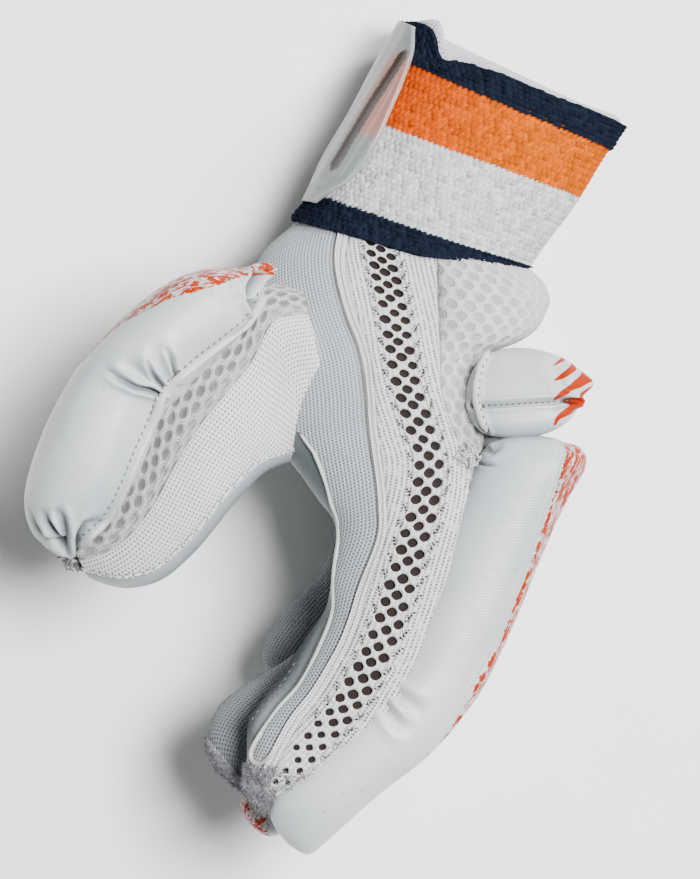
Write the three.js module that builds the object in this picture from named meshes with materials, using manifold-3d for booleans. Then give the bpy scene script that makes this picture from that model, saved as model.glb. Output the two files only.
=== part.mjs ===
// A left-hand cricket batting glove, lying on its little-finger side.
// Millimetres, +Z up. The thumb side faces up, the fingers curl towards -Y and the cuff opens
// towards +Y. The origin is on the flat underside, below the middle of the hand.

import * as THREE from 'three';
import Module from 'manifold-3d';

const wasm = await Module();
wasm.setup();

// Driving dimensions
const GLOVE_LENGTH = 288;
const GLOVE_WIDTH = 205.4;
const HAND_BREADTH = 107;
const WRIST_BREADTH = 66;
const THUMB_THICKNESS = 33;
const THUMB_ROLL_THICKNESS = 52;
const WRIST_PUFF = 16;
const CLOTH = 1.6;
const CUFF_WALL = 2.4;
const LINING_WALL = 1;
const LINING_DEPTH = 26;
const LINING_PROUD = 1.4;
const STRAP_WALL = 1.8;
const TAPE_RISE = 0.9;
const PIPING_RISE = 0.8;
const WELT_WALL = 1.5;
const SETTLE = 1.5;
const CLEARANCE = 0.3;
const HOLE_PITCH = 6.1;
const HOLE_LENGTH = 2.7;
const HOLE_WIDTH = 2;
const HOLE_COLUMN_SPACING = 3.2;

// The outline tables are drawn on one square. Each x or y in them is a share of the square's
// side from its upper left corner, and the glove covers these shares of it.
const COVERED_X = 0.604;
const COVERED_Y = 0.847;
const SIDE_X = GLOVE_WIDTH / COVERED_X;
const SIDE_Y = GLOVE_LENGTH / COVERED_Y;
const HOME_X = 0.372;
const HOME_Y = 0.372;

const FINGERS = ['little', 'ring', 'middle', 'index'];
const FINGER_PITCH = HAND_BREADTH / FINGERS.length;
const QUARTER = Math.PI / 2;
const LAPS = 6;

// Laps count once round a section: 0 its first edge, 1 the thumb side, 2 its second edge,
// 3 the foot below the second edge, 4 the floor side, 5 the foot below the first edge.
const SECOND_EDGE = 2;
const SECOND_FOOT = 3;
const FIRST_FOOT = 5;

// Hand and forefinger in one run, from the cuff to the forefinger's tip. A is the palm edge, B the
// back edge. tape, net and seam are shares of the way from A to B: where the tape begins, where
// the net begins and where it ends. holes is the middle of the holes. top and roof are the height
// of the thumb side and the height of its rounding, as shares of HAND_BREADTH.
const HAND_COLUMNS = ['aX', 'aY', 'bX', 'bY', 'tape', 'net', 'seam', 'holes', 'top', 'roof'];
const HAND_ROWS = [
  [0.297, 0.219, 0.531, 0.268, 0.175, 0.222, 0.60, 0.346, 0.620, 0.300],
  [0.262, 0.252, 0.507, 0.292, 0.290, 0.336, 0.72, 0.500, 0.700, 0.290],
  [0.243, 0.300, 0.495, 0.325, 0.395, 0.440, 0.78, 0.600, 0.790, 0.270],
  [0.238, 0.345, 0.487, 0.355, 0.478, 0.522, 0.815, 0.650, 0.870, 0.250],
  [0.246, 0.392, 0.483, 0.390, 0.498, 0.540, 0.827, 0.683, 0.935, 0.225],
  [0.268, 0.436, 0.482, 0.425, 0.463, 0.510, 0.86, 0.710, 0.975, 0.200],
  [0.296, 0.470, 0.482, 0.462, 0.409, 0.462, 0.914, 0.715, 0.995, 0.170],
  [0.318, 0.500, 0.478, 0.512, 0.363, 0.425, 0.955, 0.656, 1.000, 0.145],
  [0.335, 0.528, 0.470, 0.556, 0.300, 0.363, 0.98, 0.570, 1.000, 0.118],
  [0.331, 0.580, 0.453, 0.612, 0.210, 0.290, 1.00, 0.533, 1.000, 0.118],
  [0.330, 0.612, 0.438, 0.652, 0.160, 0.250, 1.00, 0.500, 1.000, 0.118],
  [0.318, 0.644, 0.421, 0.690, 0.150, 0.240, 1.00, 0.485, 1.000, 0.118],
  [0.298, 0.682, 0.396, 0.730, 0.130, 0.230, 1.00, 0.480, 0.997, 0.116],
  [0.275, 0.708, 0.365, 0.768, 0.150, 0.250, 1.00, 0.478, 0.988, 0.108],
  [0.258, 0.735, 0.325, 0.795, 0.200, 0.330, 1.00, 0.490, 0.972, 0.092],
  [0.248, 0.762, 0.287, 0.812, 0.250, 0.450, 1.00, 0.500, 0.940, 0.062],
  [0.243, 0.786, 0.262, 0.810, 0.250, 0.450, 1.00, 0.500, 0.905, 0.028],
];
const WRIST_ROW = 0;
const CROTCH_ROW = 8;
const TIP_ROW = 15;
const LAST_ROW = 16;
const PIPING_ROW = 6;

// The other fingers, from the hand's end to the tip. half is half their breadth, as a share of
// FINGER_PITCH.
const FINGER_COLUMNS = ['aX', 'aY', 'bX', 'bY', 'half'];
const FINGER_ROWS = {
  middle: [
    [0.335, 0.528, 0.470, 0.556, 0.49],
    [0.336, 0.572, 0.466, 0.612, 0.49],
    [0.322, 0.620, 0.446, 0.665, 0.49],
    [0.294, 0.655, 0.415, 0.705, 0.49],
    [0.262, 0.675, 0.375, 0.742, 0.49],
    [0.232, 0.694, 0.330, 0.775, 0.47],
    [0.213, 0.717, 0.285, 0.795, 0.42],
    [0.207, 0.742, 0.256, 0.796, 0.34],
    [0.214, 0.768, 0.238, 0.788, 0.15],
  ],
  ring: [
    [0.335, 0.528, 0.470, 0.556, 0.49],
    [0.322, 0.572, 0.460, 0.614, 0.49],
    [0.297, 0.598, 0.430, 0.665, 0.49],
    [0.278, 0.620, 0.378, 0.696, 0.48],
    [0.265, 0.640, 0.325, 0.700, 0.42],
    [0.261, 0.656, 0.288, 0.692, 0.30],
    [0.264, 0.668, 0.272, 0.680, 0.12],
  ],
  little: [
    [0.335, 0.528, 0.470, 0.556, 0.49],
    [0.326, 0.568, 0.452, 0.606, 0.49],
    [0.306, 0.596, 0.418, 0.652, 0.48],
    [0.290, 0.616, 0.370, 0.680, 0.45],
    [0.280, 0.634, 0.325, 0.682, 0.38],
    [0.276, 0.648, 0.296, 0.676, 0.26],
    [0.278, 0.658, 0.284, 0.668, 0.11],
  ],
};

// Long rolls on the backs of the fingers. A lies on the stall, B is the free back edge, and half
// is a share of FINGER_PITCH.
const ROLL_ROWS = {
  index: [
    [0.486, 0.443, 0.566, 0.441, 0.40],
    [0.474, 0.462, 0.583, 0.463, 0.48],
    [0.456, 0.502, 0.566, 0.496, 0.49],
    [0.438, 0.540, 0.546, 0.545, 0.49],
    [0.424, 0.583, 0.529, 0.590, 0.49],
    [0.408, 0.620, 0.509, 0.635, 0.49],
    [0.388, 0.664, 0.489, 0.682, 0.485],
    [0.366, 0.693, 0.461, 0.722, 0.49],
    [0.340, 0.718, 0.430, 0.757, 0.49],
    [0.312, 0.746, 0.392, 0.786, 0.48],
    [0.286, 0.774, 0.362, 0.812, 0.45],
    [0.268, 0.798, 0.335, 0.838, 0.40],
    [0.270, 0.818, 0.314, 0.857, 0.28],
  ],
  middle: [
    [0.482, 0.446, 0.586, 0.447, 0.40],
    [0.474, 0.464, 0.591, 0.466, 0.49],
    [0.464, 0.505, 0.570, 0.500, 0.49],
    [0.452, 0.555, 0.545, 0.552, 0.49],
    [0.442, 0.600, 0.524, 0.606, 0.49],
    [0.424, 0.650, 0.504, 0.652, 0.49],
    [0.396, 0.688, 0.478, 0.700, 0.49],
    [0.360, 0.728, 0.433, 0.748, 0.49],
    [0.322, 0.752, 0.392, 0.778, 0.49],
    [0.288, 0.776, 0.346, 0.808, 0.47],
    [0.258, 0.786, 0.306, 0.830, 0.42],
    [0.238, 0.800, 0.271, 0.841, 0.28],
  ],
  ring: [
    [0.480, 0.447, 0.572, 0.446, 0.40],
    [0.474, 0.464, 0.586, 0.468, 0.49],
    [0.466, 0.505, 0.566, 0.500, 0.49],
    [0.456, 0.555, 0.544, 0.553, 0.49],
    [0.444, 0.596, 0.524, 0.606, 0.49],
    [0.424, 0.630, 0.500, 0.660, 0.49],
    [0.392, 0.664, 0.455, 0.710, 0.48],
    [0.354, 0.678, 0.396, 0.742, 0.46],
    [0.316, 0.680, 0.338, 0.742, 0.40],
    [0.290, 0.676, 0.298, 0.716, 0.28],
  ],
  little: [
    [0.480, 0.449, 0.562, 0.450, 0.40],
    [0.472, 0.466, 0.576, 0.470, 0.49],
    [0.462, 0.505, 0.558, 0.503, 0.49],
    [0.450, 0.550, 0.538, 0.553, 0.49],
    [0.436, 0.586, 0.516, 0.602, 0.49],
    [0.412, 0.618, 0.486, 0.652, 0.49],
    [0.380, 0.644, 0.440, 0.696, 0.47],
    [0.348, 0.658, 0.386, 0.718, 0.42],
    [0.318, 0.660, 0.336, 0.712, 0.34],
    [0.298, 0.656, 0.304, 0.690, 0.22],
  ],
};
const ROLL_COLUMNS = ['aX', 'aY', 'bX', 'bY', 'half'];

// One padded block over a knuckle. spread is the breadth of the hand behind it, as a share of
// HAND_BREADTH, and half is a share of the finger's part of that spread.
const KNUCKLE_COLUMNS = ['aX', 'aY', 'bX', 'bY', 'spread', 'half'];
const KNUCKLE_ROWS = [
  [0.484, 0.355, 0.550, 0.352, 0.900, 0.33],
  [0.474, 0.364, 0.570, 0.360, 0.915, 0.45],
  [0.466, 0.378, 0.586, 0.375, 0.935, 0.49],
  [0.462, 0.391, 0.589, 0.387, 0.950, 0.49],
  [0.462, 0.403, 0.579, 0.402, 0.965, 0.46],
  [0.464, 0.416, 0.578, 0.413, 0.980, 0.48],
  [0.470, 0.427, 0.567, 0.426, 0.990, 0.45],
  [0.478, 0.433, 0.556, 0.431, 0.995, 0.36],
];

// The thumb's stall, from inside the hand to the tip. A is the edge under the roll, B the palm
// edge. mid is its height as a share of HAND_BREADTH, half half its thickness as a share of
// THUMB_THICKNESS.
const THUMB_COLUMNS = ['aX', 'aY', 'bX', 'bY', 'mid', 'half'];
const THUMB_ROWS = [
  [0.306, 0.290, 0.340, 0.440, 0.660, 0.58],
  [0.262, 0.285, 0.314, 0.454, 0.755, 0.56],
  [0.232, 0.318, 0.286, 0.462, 0.820, 0.54],
  [0.198, 0.344, 0.263, 0.472, 0.875, 0.52],
  [0.163, 0.378, 0.240, 0.495, 0.905, 0.50],
  [0.141, 0.418, 0.218, 0.522, 0.915, 0.50],
  [0.124, 0.460, 0.194, 0.551, 0.915, 0.48],
  [0.106, 0.496, 0.163, 0.577, 0.915, 0.44],
  [0.092, 0.520, 0.130, 0.586, 0.915, 0.36],
  [0.078, 0.538, 0.100, 0.580, 0.915, 0.24],
  [0.071, 0.550, 0.080, 0.570, 0.915, 0.10],
];
const THUMB_LAST_ROW = THUMB_ROWS.length - 1;
const THUMB_END_ROW = THUMB_LAST_ROW - 0.5;
const THUMB_MESH_SHARE = 0.34;
const THUMB_KNIT_SHARE = 0.96;
const THUMB_WELT_FROM = 0.10;
const THUMB_WELT_TO = 0.24;
const THUMB_MOUTH_ROW = 0.5;

// The padded roll on the back of the thumb, from its corner at the wrist to the tip. half is a
// share of THUMB_ROLL_THICKNESS.
const THUMB_ROLL_ROWS = [
  [0.264, 0.266, 0.262, 0.286, 0.880, 0.10],
  [0.236, 0.268, 0.254, 0.318, 0.895, 0.32],
  [0.197, 0.270, 0.236, 0.340, 0.910, 0.44],
  [0.156, 0.290, 0.210, 0.362, 0.920, 0.49],
  [0.111, 0.330, 0.178, 0.392, 0.925, 0.50],
  [0.077, 0.370, 0.162, 0.412, 0.925, 0.48],
  [0.050, 0.418, 0.149, 0.453, 0.925, 0.50],
  [0.033, 0.460, 0.137, 0.484, 0.925, 0.49],
  [0.024, 0.500, 0.122, 0.508, 0.925, 0.44],
  [0.032, 0.532, 0.104, 0.530, 0.925, 0.33],
  [0.054, 0.550, 0.082, 0.546, 0.925, 0.14],
];

// The cuff from its lower edge to its rim. breadth is a share of WRIST_BREADTH.
const CUFF_COLUMNS = ['aX', 'aY', 'bX', 'bY', 'breadth'];
const CUFF_ROWS = [
  [0.298, 0.217, 0.531, 0.266, 1.000],
  [0.314, 0.185, 0.549, 0.240, 1.005],
  [0.331, 0.150, 0.577, 0.203, 0.990],
  [0.356, 0.107, 0.598, 0.168, 0.975],
  [0.381, 0.060, 0.614, 0.144, 0.965],
  [0.405, 0.018, 0.627, 0.122, 0.960],
];
const CUFF_LAST_ROW = CUFF_ROWS.length - 1;

// How far the rim dips below its straight line on the thumb side, as a share of the cuff's
// length, against the share of the way from the palm edge to the back edge.
const RIM_COLUMNS = ['dip'];
const RIM_ROWS = [[0], [-0.03], [0.10], [0.075], [0.06], [0.05], [0.045], [0.03], [0.015], [0]];

// The strap's free edge on the thumb side, as a share of the way across the cuff, from its lower
// end to its upper end.
const STRAP_COLUMNS = ['reach'];
const STRAP_ROWS = [[0.05], [0.12], [0.155], [0.155], [0.14], [0.13], [0.11], [0.06]];
const STRAP_FROM = 0.12;
const STRAP_TO = 0.99;
const STRAP_UNDERSIDE = -1.5;

const COLOURS = {
  padding: 0xe4e9ec,
  leather: 0x8b9798,
  knit: 0xc9cdd1,
  net: 0xe3e1e6,
  mesh: 0xe9e7e4,
  navy: 0x182236,
  lining: 0xe8e8ee,
  strap: 0xb9c4c6,
  towelling: 0x85888c,
};

// A table's columns at a place along its rows, on a smooth curve through the rows
function readTable(columns, rows, place) {
  const last = rows.length - 1;
  const held = Math.min(Math.max(place, 0), last);
  const from = Math.min(Math.floor(held), last - 1);
  const f = held - from;
  const near = [from - 1, from, from + 1, from + 2];
  const picked = near.map((i) => rows[THREE.MathUtils.clamp(i, 0, last)]);
  const result = {};
  columns.forEach((column, c) => {
    const [p, q, r, s] = picked.map((row) => row[c]);
    const slope = (r - p) * f;
    const bend = (2 * p - 5 * q + 4 * r - s) * f * f;
    const turn = (3 * q - 3 * r + s - p) * f * f * f;
    result[column] = q + (slope + bend + turn) / 2;
  });
  return result;
}

// A point of the drawing square in millimetres
function onSquare(x, y) {
  return new THREE.Vector2((x - HOME_X) * SIDE_X, (HOME_Y - y) * SIDE_Y);
}

// A section stands upright on the line from A to B. roof and keel are the heights of its
// rounded upper and lower ends, and floor is the surface it is pressed flat against.
function makeSection(row, low, high, roof, keel, power) {
  const a = onSquare(row.aX, row.aY);
  const b = onSquare(row.bX, row.bY);
  return { a, b, low, high, roof, keel, power, floor: 0 };
}

// A section whose two rounded ends are alike, with a short upright stretch between them
const END_SHARE = 0.47;
function evenSection(row, middle, half, power) {
  const end = 2 * half * END_SHARE;
  return makeSection(row, middle - half, middle + half, end, end, power);
}

// The same section, larger by a distance all round
function grow(section, by) {
  const way = section.b.clone().sub(section.a).setLength(by);
  return {
    ...section,
    a: section.a.clone().sub(way),
    b: section.b.clone().add(way),
    low: section.low - by,
    high: section.high + by,
    roof: section.roof + by,
    keel: section.keel + by,
    floor: -by,
  };
}

// The point of a section at a lap, moved out along its normal
function pointAt(section, lap, out = 0) {
  const turned = ((lap % LAPS) + LAPS) % LAPS;
  const { a, b, low, high, roof, keel, power } = section;
  const half = a.distanceTo(b) / 2;
  let across;
  let up;
  let rise = roof;
  let base = high - roof;
  if (turned > SECOND_EDGE && turned < SECOND_FOOT) {
    across = 1;
    up = 0;
    base = THREE.MathUtils.lerp(high - roof, low + keel, turned - SECOND_EDGE);
  } else if (turned > FIRST_FOOT) {
    across = -1;
    up = 0;
    base = THREE.MathUtils.lerp(low + keel, high - roof, turned - FIRST_FOOT);
  } else {
    const isRoof = turned <= SECOND_EDGE;
    const angle = (isRoof ? turned : turned - 1) * QUARTER;
    const cosine = Math.cos(angle);
    const sine = Math.sin(angle);
    across = -Math.sign(cosine) * Math.abs(cosine) ** (2 / power);
    up = Math.sign(sine) * Math.abs(sine) ** (2 / power);
    rise = isRoof ? roof : keel;
    base = isRoof ? high - roof : low + keel;
  }
  const leanAcross = Math.sign(across) * Math.abs(across) ** (power - 1) / half;
  const leanUp = Math.sign(up) * Math.abs(up) ** (power - 1) / rise;
  const lean = Math.hypot(leanAcross, leanUp);
  const shift = across * half + out * leanAcross / lean;
  const z = base + up * rise + out * leanUp / lean;
  const spot = b.clone().sub(a).setLength(shift + half);
  if (shift + half < 0) {
    spot.copy(b).sub(a).setLength(-shift - half).negate();
  }
  spot.add(a);
  return new THREE.Vector3(spot.x, spot.y, Math.max(z, section.floor - Math.min(out, 0)));
}

// The lap on the thumb side that lies at a share of the way from A to B
function lapAt(section, share) {
  const across = 2 * THREE.MathUtils.clamp(share, 0, 1) - 1;
  const cosine = -Math.sign(across) * Math.abs(across) ** (section.power / 2);
  return Math.acos(cosine) / QUARTER;
}

// A lap moved along the section by a distance
const LAP_STEP = 0.05;
function lapMoved(section, lap, distance) {
  const step = Math.sign(distance) * LAP_STEP;
  const length = pointAt(section, lap).distanceTo(pointAt(section, lap + step));
  return lap + step * Math.abs(distance) / length;
}

function geometryOf(points, faces) {
  let volume = 0;
  for (const [i, j, k] of faces) {
    volume += points[i].dot(points[j].clone().cross(points[k]));
  }
  const facing = volume < 0 ? faces.map(([i, j, k]) => [i, k, j]) : faces;
  const geometry = new THREE.BufferGeometry();
  geometry.setFromPoints(points);
  geometry.setIndex(facing.flat());
  return geometry;
}

// A wall with an outer and an inner skin. place(u, v, outer) gives its points, with u along the
// piece and v across it. A wall that wraps closes on itself across, and one with a closed end
// has its last row filled in.
function wall(rows, columns, place, { wraps = false, closedEnd = false } = {}) {
  const across = wraps ? columns : columns + 1;
  const points = [];
  const faces = [];
  for (const outer of [true, false]) {
    for (let i = 0; i <= rows; i += 1) {
      for (let j = 0; j < across; j += 1) {
        points.push(place(i / rows, j / columns, outer));
      }
    }
  }
  const id = (outer, i, j) => (outer ? 0 : (rows + 1) * across) + i * across + (j % across);
  const quad = (a, b, c, d) => faces.push([a, b, c], [a, c, d]);
  for (let j = 0; j < columns; j += 1) {
    for (let i = 0; i < rows; i += 1) {
      quad(id(true, i, j), id(true, i + 1, j), id(true, i + 1, j + 1), id(true, i, j + 1));
      quad(id(false, i, j), id(false, i, j + 1), id(false, i + 1, j + 1), id(false, i + 1, j));
    }
    quad(id(true, 0, j), id(true, 0, j + 1), id(false, 0, j + 1), id(false, 0, j));
    if (!closedEnd) {
      quad(id(true, rows, j + 1), id(true, rows, j), id(false, rows, j), id(false, rows, j + 1));
    }
  }
  if (closedEnd) {
    for (const outer of [true, false]) {
      const ring = Array.from({ length: across }, (_, j) => id(outer, rows, j));
      fan(points, faces, outer ? ring.reverse() : ring);
    }
  }
  if (!wraps) {
    for (let i = 0; i < rows; i += 1) {
      quad(id(true, i + 1, 0), id(true, i, 0), id(false, i, 0), id(false, i + 1, 0));
      const [near, next] = [id(true, i, columns), id(true, i + 1, columns)];
      quad(near, next, id(false, i + 1, columns), id(false, i, columns));
    }
  }
  return geometryOf(points, faces);
}

// Triangles from the middle of a ring of points to its sides
function fan(points, faces, ring) {
  const middle = new THREE.Vector3();
  ring.forEach((i) => middle.addScaledVector(points[i], 1 / ring.length));
  const hub = points.push(middle) - 1;
  ring.forEach((i, n) => faces.push([hub, i, ring[(n + 1) % ring.length]]));
}

// A closed body through sections, with a round row of laps on each
const LOFT_STEPS = 5;
function lapsAround(steps) {
  const laps = [];
  for (let i = 0; i <= steps; i += 1) {
    laps.push(i * SECOND_EDGE / steps);
  }
  for (let i = 0; i <= steps; i += 1) {
    laps.push(SECOND_FOOT + i * SECOND_EDGE / steps);
  }
  return laps;
}

function loft(sections, steps = LOFT_STEPS) {
  const laps = lapsAround(steps);
  return loftRings(sections.map((section) => laps.map((lap) => pointAt(section, lap))));
}

function loftRings(rings) {
  const points = rings.flat();
  const count = rings[0].length;
  const faces = [];
  const id = (i, j) => i * count + (j % count);
  for (let i = 0; i < rings.length - 1; i += 1) {
    for (let j = 0; j < count; j += 1) {
      faces.push([id(i, j), id(i + 1, j), id(i + 1, j + 1)], [id(i, j), id(i + 1, j + 1), id(i, j + 1)]);
    }
  }
  const first = rings[0].map((_, j) => id(0, j));
  const last = rings[0].map((_, j) => id(rings.length - 1, j)).reverse();
  fan(points, faces, first);
  fan(points, faces, last);
  return geometryOf(points, faces);
}

function toSolid(geometry) {
  return new wasm.Manifold(new wasm.Mesh({
    numProp: 3,
    vertProperties: new Float32Array(geometry.attributes.position.array),
    triVerts: new Uint32Array(geometry.index.array),
  }));
}

function fromSolid(solid) {
  const { vertProperties, triVerts } = solid.getMesh();
  const geometry = new THREE.BufferGeometry();
  geometry.setAttribute('position', new THREE.Float32BufferAttribute(vertProperties.slice(), 3));
  geometry.setIndex(Array.from(triVerts));
  return geometry;
}

// What is left of a body after the cutters, without the small chips beyond them
function cut(geometry, cutters) {
  let solid = toSolid(geometry);
  for (const cutter of cutters) {
    solid = solid.subtract(toSolid(cutter));
  }
  const bodies = solid.decompose().sort((one, two) => two.volume() - one.volume());
  return fromSolid(bodies[0]);
}

// Sections along the glove
const HAND_POWER = 2.3;
const STALL_POWER = 2.3;
const PAD_POWER = 2.7;
const ROWS_A_STEP = 0.5;
const STALL_STEPS = 5;
const STALL_COLUMNS = 2 * (STALL_STEPS + 1);

function handSection(row) {
  const at = readTable(HAND_COLUMNS, HAND_ROWS, row);
  const roof = at.roof * HAND_BREADTH;
  return { ...makeSection(at, -SETTLE, at.top * HAND_BREADTH, roof, roof, HAND_POWER), shares: at };
}

function indexSection(row) {
  const at = readTable(HAND_COLUMNS, HAND_ROWS, row);
  const roof = at.roof * HAND_BREADTH;
  const half = roof / (2 * END_SHARE);
  const high = at.top * HAND_BREADTH;
  return { ...makeSection(at, high - 2 * half, high, roof, roof, HAND_POWER), shares: at };
}

function sideSection(row) {
  return row > CROTCH_ROW ? indexSection(row) : handSection(row);
}

// The little finger's pieces are pressed flat on the surface below them
function fingerMiddle(number) {
  return (number + 0.5) * FINGER_PITCH - (number === 0 ? SETTLE : 0);
}

function fingerHalf(number, share) {
  return share * FINGER_PITCH + (number === 0 ? SETTLE * share : 0);
}

function fingerSection(name, row) {
  const number = FINGERS.indexOf(name);
  const at = readTable(FINGER_COLUMNS, FINGER_ROWS[name], row);
  return evenSection(at, fingerMiddle(number), fingerHalf(number, at.half), STALL_POWER);
}

function rollSection(name, row) {
  const number = FINGERS.indexOf(name);
  const at = readTable(ROLL_COLUMNS, ROLL_ROWS[name], row);
  return evenSection(at, fingerMiddle(number), fingerHalf(number, at.half), PAD_POWER);
}

function knuckleSection(name, row) {
  const number = FINGERS.indexOf(name);
  const at = readTable(KNUCKLE_COLUMNS, KNUCKLE_ROWS, row);
  const middle = fingerMiddle(number) * at.spread;
  return evenSection(at, middle, fingerHalf(number, at.half) * at.spread, PAD_POWER);
}

function thumbSection(row) {
  const at = readTable(THUMB_COLUMNS, THUMB_ROWS, row);
  return evenSection(at, at.mid * HAND_BREADTH, at.half * THUMB_THICKNESS, STALL_POWER);
}

// The gathered tip goes on past the thumb's last row to a small end
const TIP_END = { aX: 0.062, aY: 0.555, bX: 0.070, bY: 0.566, mid: 0.915, half: 0.06 };
function thumbTipSection(row) {
  if (row <= THUMB_LAST_ROW) {
    return thumbSection(row);
  }
  const middle = TIP_END.mid * HAND_BREADTH;
  return evenSection(TIP_END, middle, TIP_END.half * THUMB_THICKNESS, STALL_POWER);
}

function thumbRollSection(row) {
  const at = readTable(THUMB_COLUMNS, THUMB_ROLL_ROWS, row);
  return evenSection(at, at.mid * HAND_BREADTH, at.half * THUMB_ROLL_THICKNESS, PAD_POWER);
}

function cuffSection(row) {
  const at = readTable(CUFF_COLUMNS, CUFF_ROWS, row);
  const high = at.breadth * WRIST_BREADTH;
  const end = (high + SETTLE) * END_SHARE;
  return makeSection(at, -SETTLE, high, end, end, HAND_POWER);
}

function rowsBetween(first, last, step = ROWS_A_STEP) {
  const count = Math.round((last - first) / step);
  return Array.from({ length: count + 1 }, (_, i) => THREE.MathUtils.lerp(first, last, i / count));
}

// Whole steps of rows, with the first and the last moved to the ends
function stepsBetween(first, last, step) {
  const whole = (row) => Math.round(row / step) * step;
  const stops = rowsBetween(whole(first), whole(last), step);
  stops[0] = first;
  stops[stops.length - 1] = last;
  return stops;
}

// A row shifted along the middle line of its sections by a distance
function rowMoved(sectionAt, row, distance) {
  const step = Math.sign(distance) * ROWS_A_STEP;
  const spread = sectionAt(row).a.distanceTo(sectionAt(row + step).a);
  const fall = sectionAt(row).b.distanceTo(sectionAt(row + step).b);
  return row + step * 2 * Math.abs(distance) / (spread + fall);
}

// A panel of a tube between two laps, which may change along it. Half the clearance comes off
// each long side.
function panel(sectionAt, first, last, fromLap, toLap, columns, options = {}) {
  const { rise = 0, thickness = CLOTH, step = ROWS_A_STEP, extra } = options;
  const stops = stepsBetween(first, last, step);
  const rows = stops.length - 1;
  return wall(rows, columns, (u, v, outer) => {
    const row = stops[Math.round(u * rows)];
    const section = sectionAt(row);
    const from = lapMoved(section, fromLap(section, row), CLEARANCE / 2);
    const to = lapMoved(section, toLap(section, row), -CLEARANCE / 2);
    const lap = THREE.MathUtils.lerp(from, to, v);
    const puff = extra ? extra(row, v) : 0;
    return pointAt(section, lap, outer ? rise + puff : rise - thickness);
  });
}

// Full bodies of the hollow forms, grown by the clearance, that cut what seats on them
const FACET_ROOM = 0.3;
const BODY_STEPS = 7;
const grown = (sectionAt) => (row) => grow(sectionAt(row), CLEARANCE + FACET_ROOM);
// The hand's body runs a little into the fingers' bodies
const bodyRows = [...rowsBetween(WRIST_ROW, CROTCH_ROW), CROTCH_ROW + ROWS_A_STEP / 2];
const handBody = loft(bodyRows.map(grown(handSection)), BODY_STEPS);
const thumbBody = loft(rowsBetween(0, THUMB_LAST_ROW, 1).map(grown(thumbSection)), BODY_STEPS);
const thumbHollow = loft(
  rowsBetween(0, THUMB_LAST_ROW - 1, 1).map((row) => grow(thumbSection(row), -CLOTH)),
);

function stallBody(name) {
  if (name === 'index') {
    return loft(rowsBetween(CROTCH_ROW, LAST_ROW).map(grown(indexSection)), BODY_STEPS);
  }
  const last = FINGER_ROWS[name].length - 1;
  return loft(rowsBetween(0, last, 1).map(grown((row) => fingerSection(name, row))), STALL_STEPS);
}

const glove = new THREE.Group();

function addPiece(name, geometry, colour, roughness = 0.7) {
  geometry.computeVertexNormals();
  const material = new THREE.MeshStandardMaterial({ color: colour, roughness, metalness: 0 });
  const mesh = new THREE.Mesh(geometry, material);
  mesh.name = name;
  glove.add(mesh);
}

// Panels of the hand and the forefinger
const handEnd = rowMoved(handSection, CROTCH_ROW, -CLEARANCE / 2);
const fingerStart = rowMoved(indexSection, CROTCH_ROW, CLEARANCE / 2);
const firstEdge = () => 0;
const tapeLap = (section) => lapAt(section, section.shares.tape);
const netLap = (section) => lapAt(section, section.shares.net);
const seamLap = (section) => lapAt(section, section.shares.seam);
const PIPING_SHARE = 0.03;
const pipingLap = (section, row) => (row < PIPING_ROW ? 0 : lapAt(section, PIPING_SHARE));
const BACK_MESH_END = SECOND_FOOT + 0.35;
const PALM_START = FIRST_FOOT - 0.35;

function addSidePanels() {
  const knit = panel(sideSection, WRIST_ROW, TIP_ROW, pipingLap, tapeLap, 3);
  addPiece('side_knit', cut(knit, [thumbHollow]), COLOURS.knit, 0.9);
  const piping = panel(sideSection, PIPING_ROW, TIP_ROW, firstEdge, pipingLap, 1, {
    rise: PIPING_RISE,
    thickness: CLOTH + PIPING_RISE,
  });
  addPiece('side_piping', piping, COLOURS.padding, 0.5);
  const tape = panel(sideSection, WRIST_ROW, TIP_ROW, tapeLap, netLap, 1, {
    rise: TAPE_RISE,
    thickness: CLOTH + TAPE_RISE,
  });
  addPiece('rib_tape', tape, COLOURS.net, 0.9);
  addPiece('mesh_gusset', netPanel(), COLOURS.net, 0.9);
}

// Four-sided holes in three columns down the net, the middle column half a pitch along. The band
// that holds them lies between two plain borders.
const HOLES_FROM_ROW = 0.7;
const HOLES_TO_ROW = 13.3;
const HOLE_COLUMNS = [-1, 0, 1];
const BAND_MARGIN = 0.8;
const BORDER_SHARE = 0.3;

function holesLap(section, off) {
  const lap = lapAt(section, section.shares.holes);
  return off === 0 ? lap : lapMoved(section, lap, off);
}

// The four corners of each hole, as rows and laps
function netHoles() {
  const middle = (row) => pointAt(sideSection(row), holesLap(sideSection(row), 0));
  const holes = [];
  let row = HOLES_FROM_ROW;
  while (row < HOLES_TO_ROW) {
    const rowsPerLength = 1 / middle(row).distanceTo(middle(row + 1));
    for (const column of HOLE_COLUMNS) {
      const place = row + (column === 0 ? HOLE_PITCH / 2 * rowsPerLength : 0);
      holes.push([[-1, 0], [0, 1], [1, 0], [0, -1]].map(([along, across]) => {
        const at = place + along * HOLE_LENGTH / 2 * rowsPerLength;
        const off = column * HOLE_COLUMN_SPACING + across * HOLE_WIDTH / 2;
        return { row: at, lap: holesLap(sideSection(at), off), off };
      }));
    }
    row += HOLE_PITCH * rowsPerLength;
  }
  return holes;
}

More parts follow.
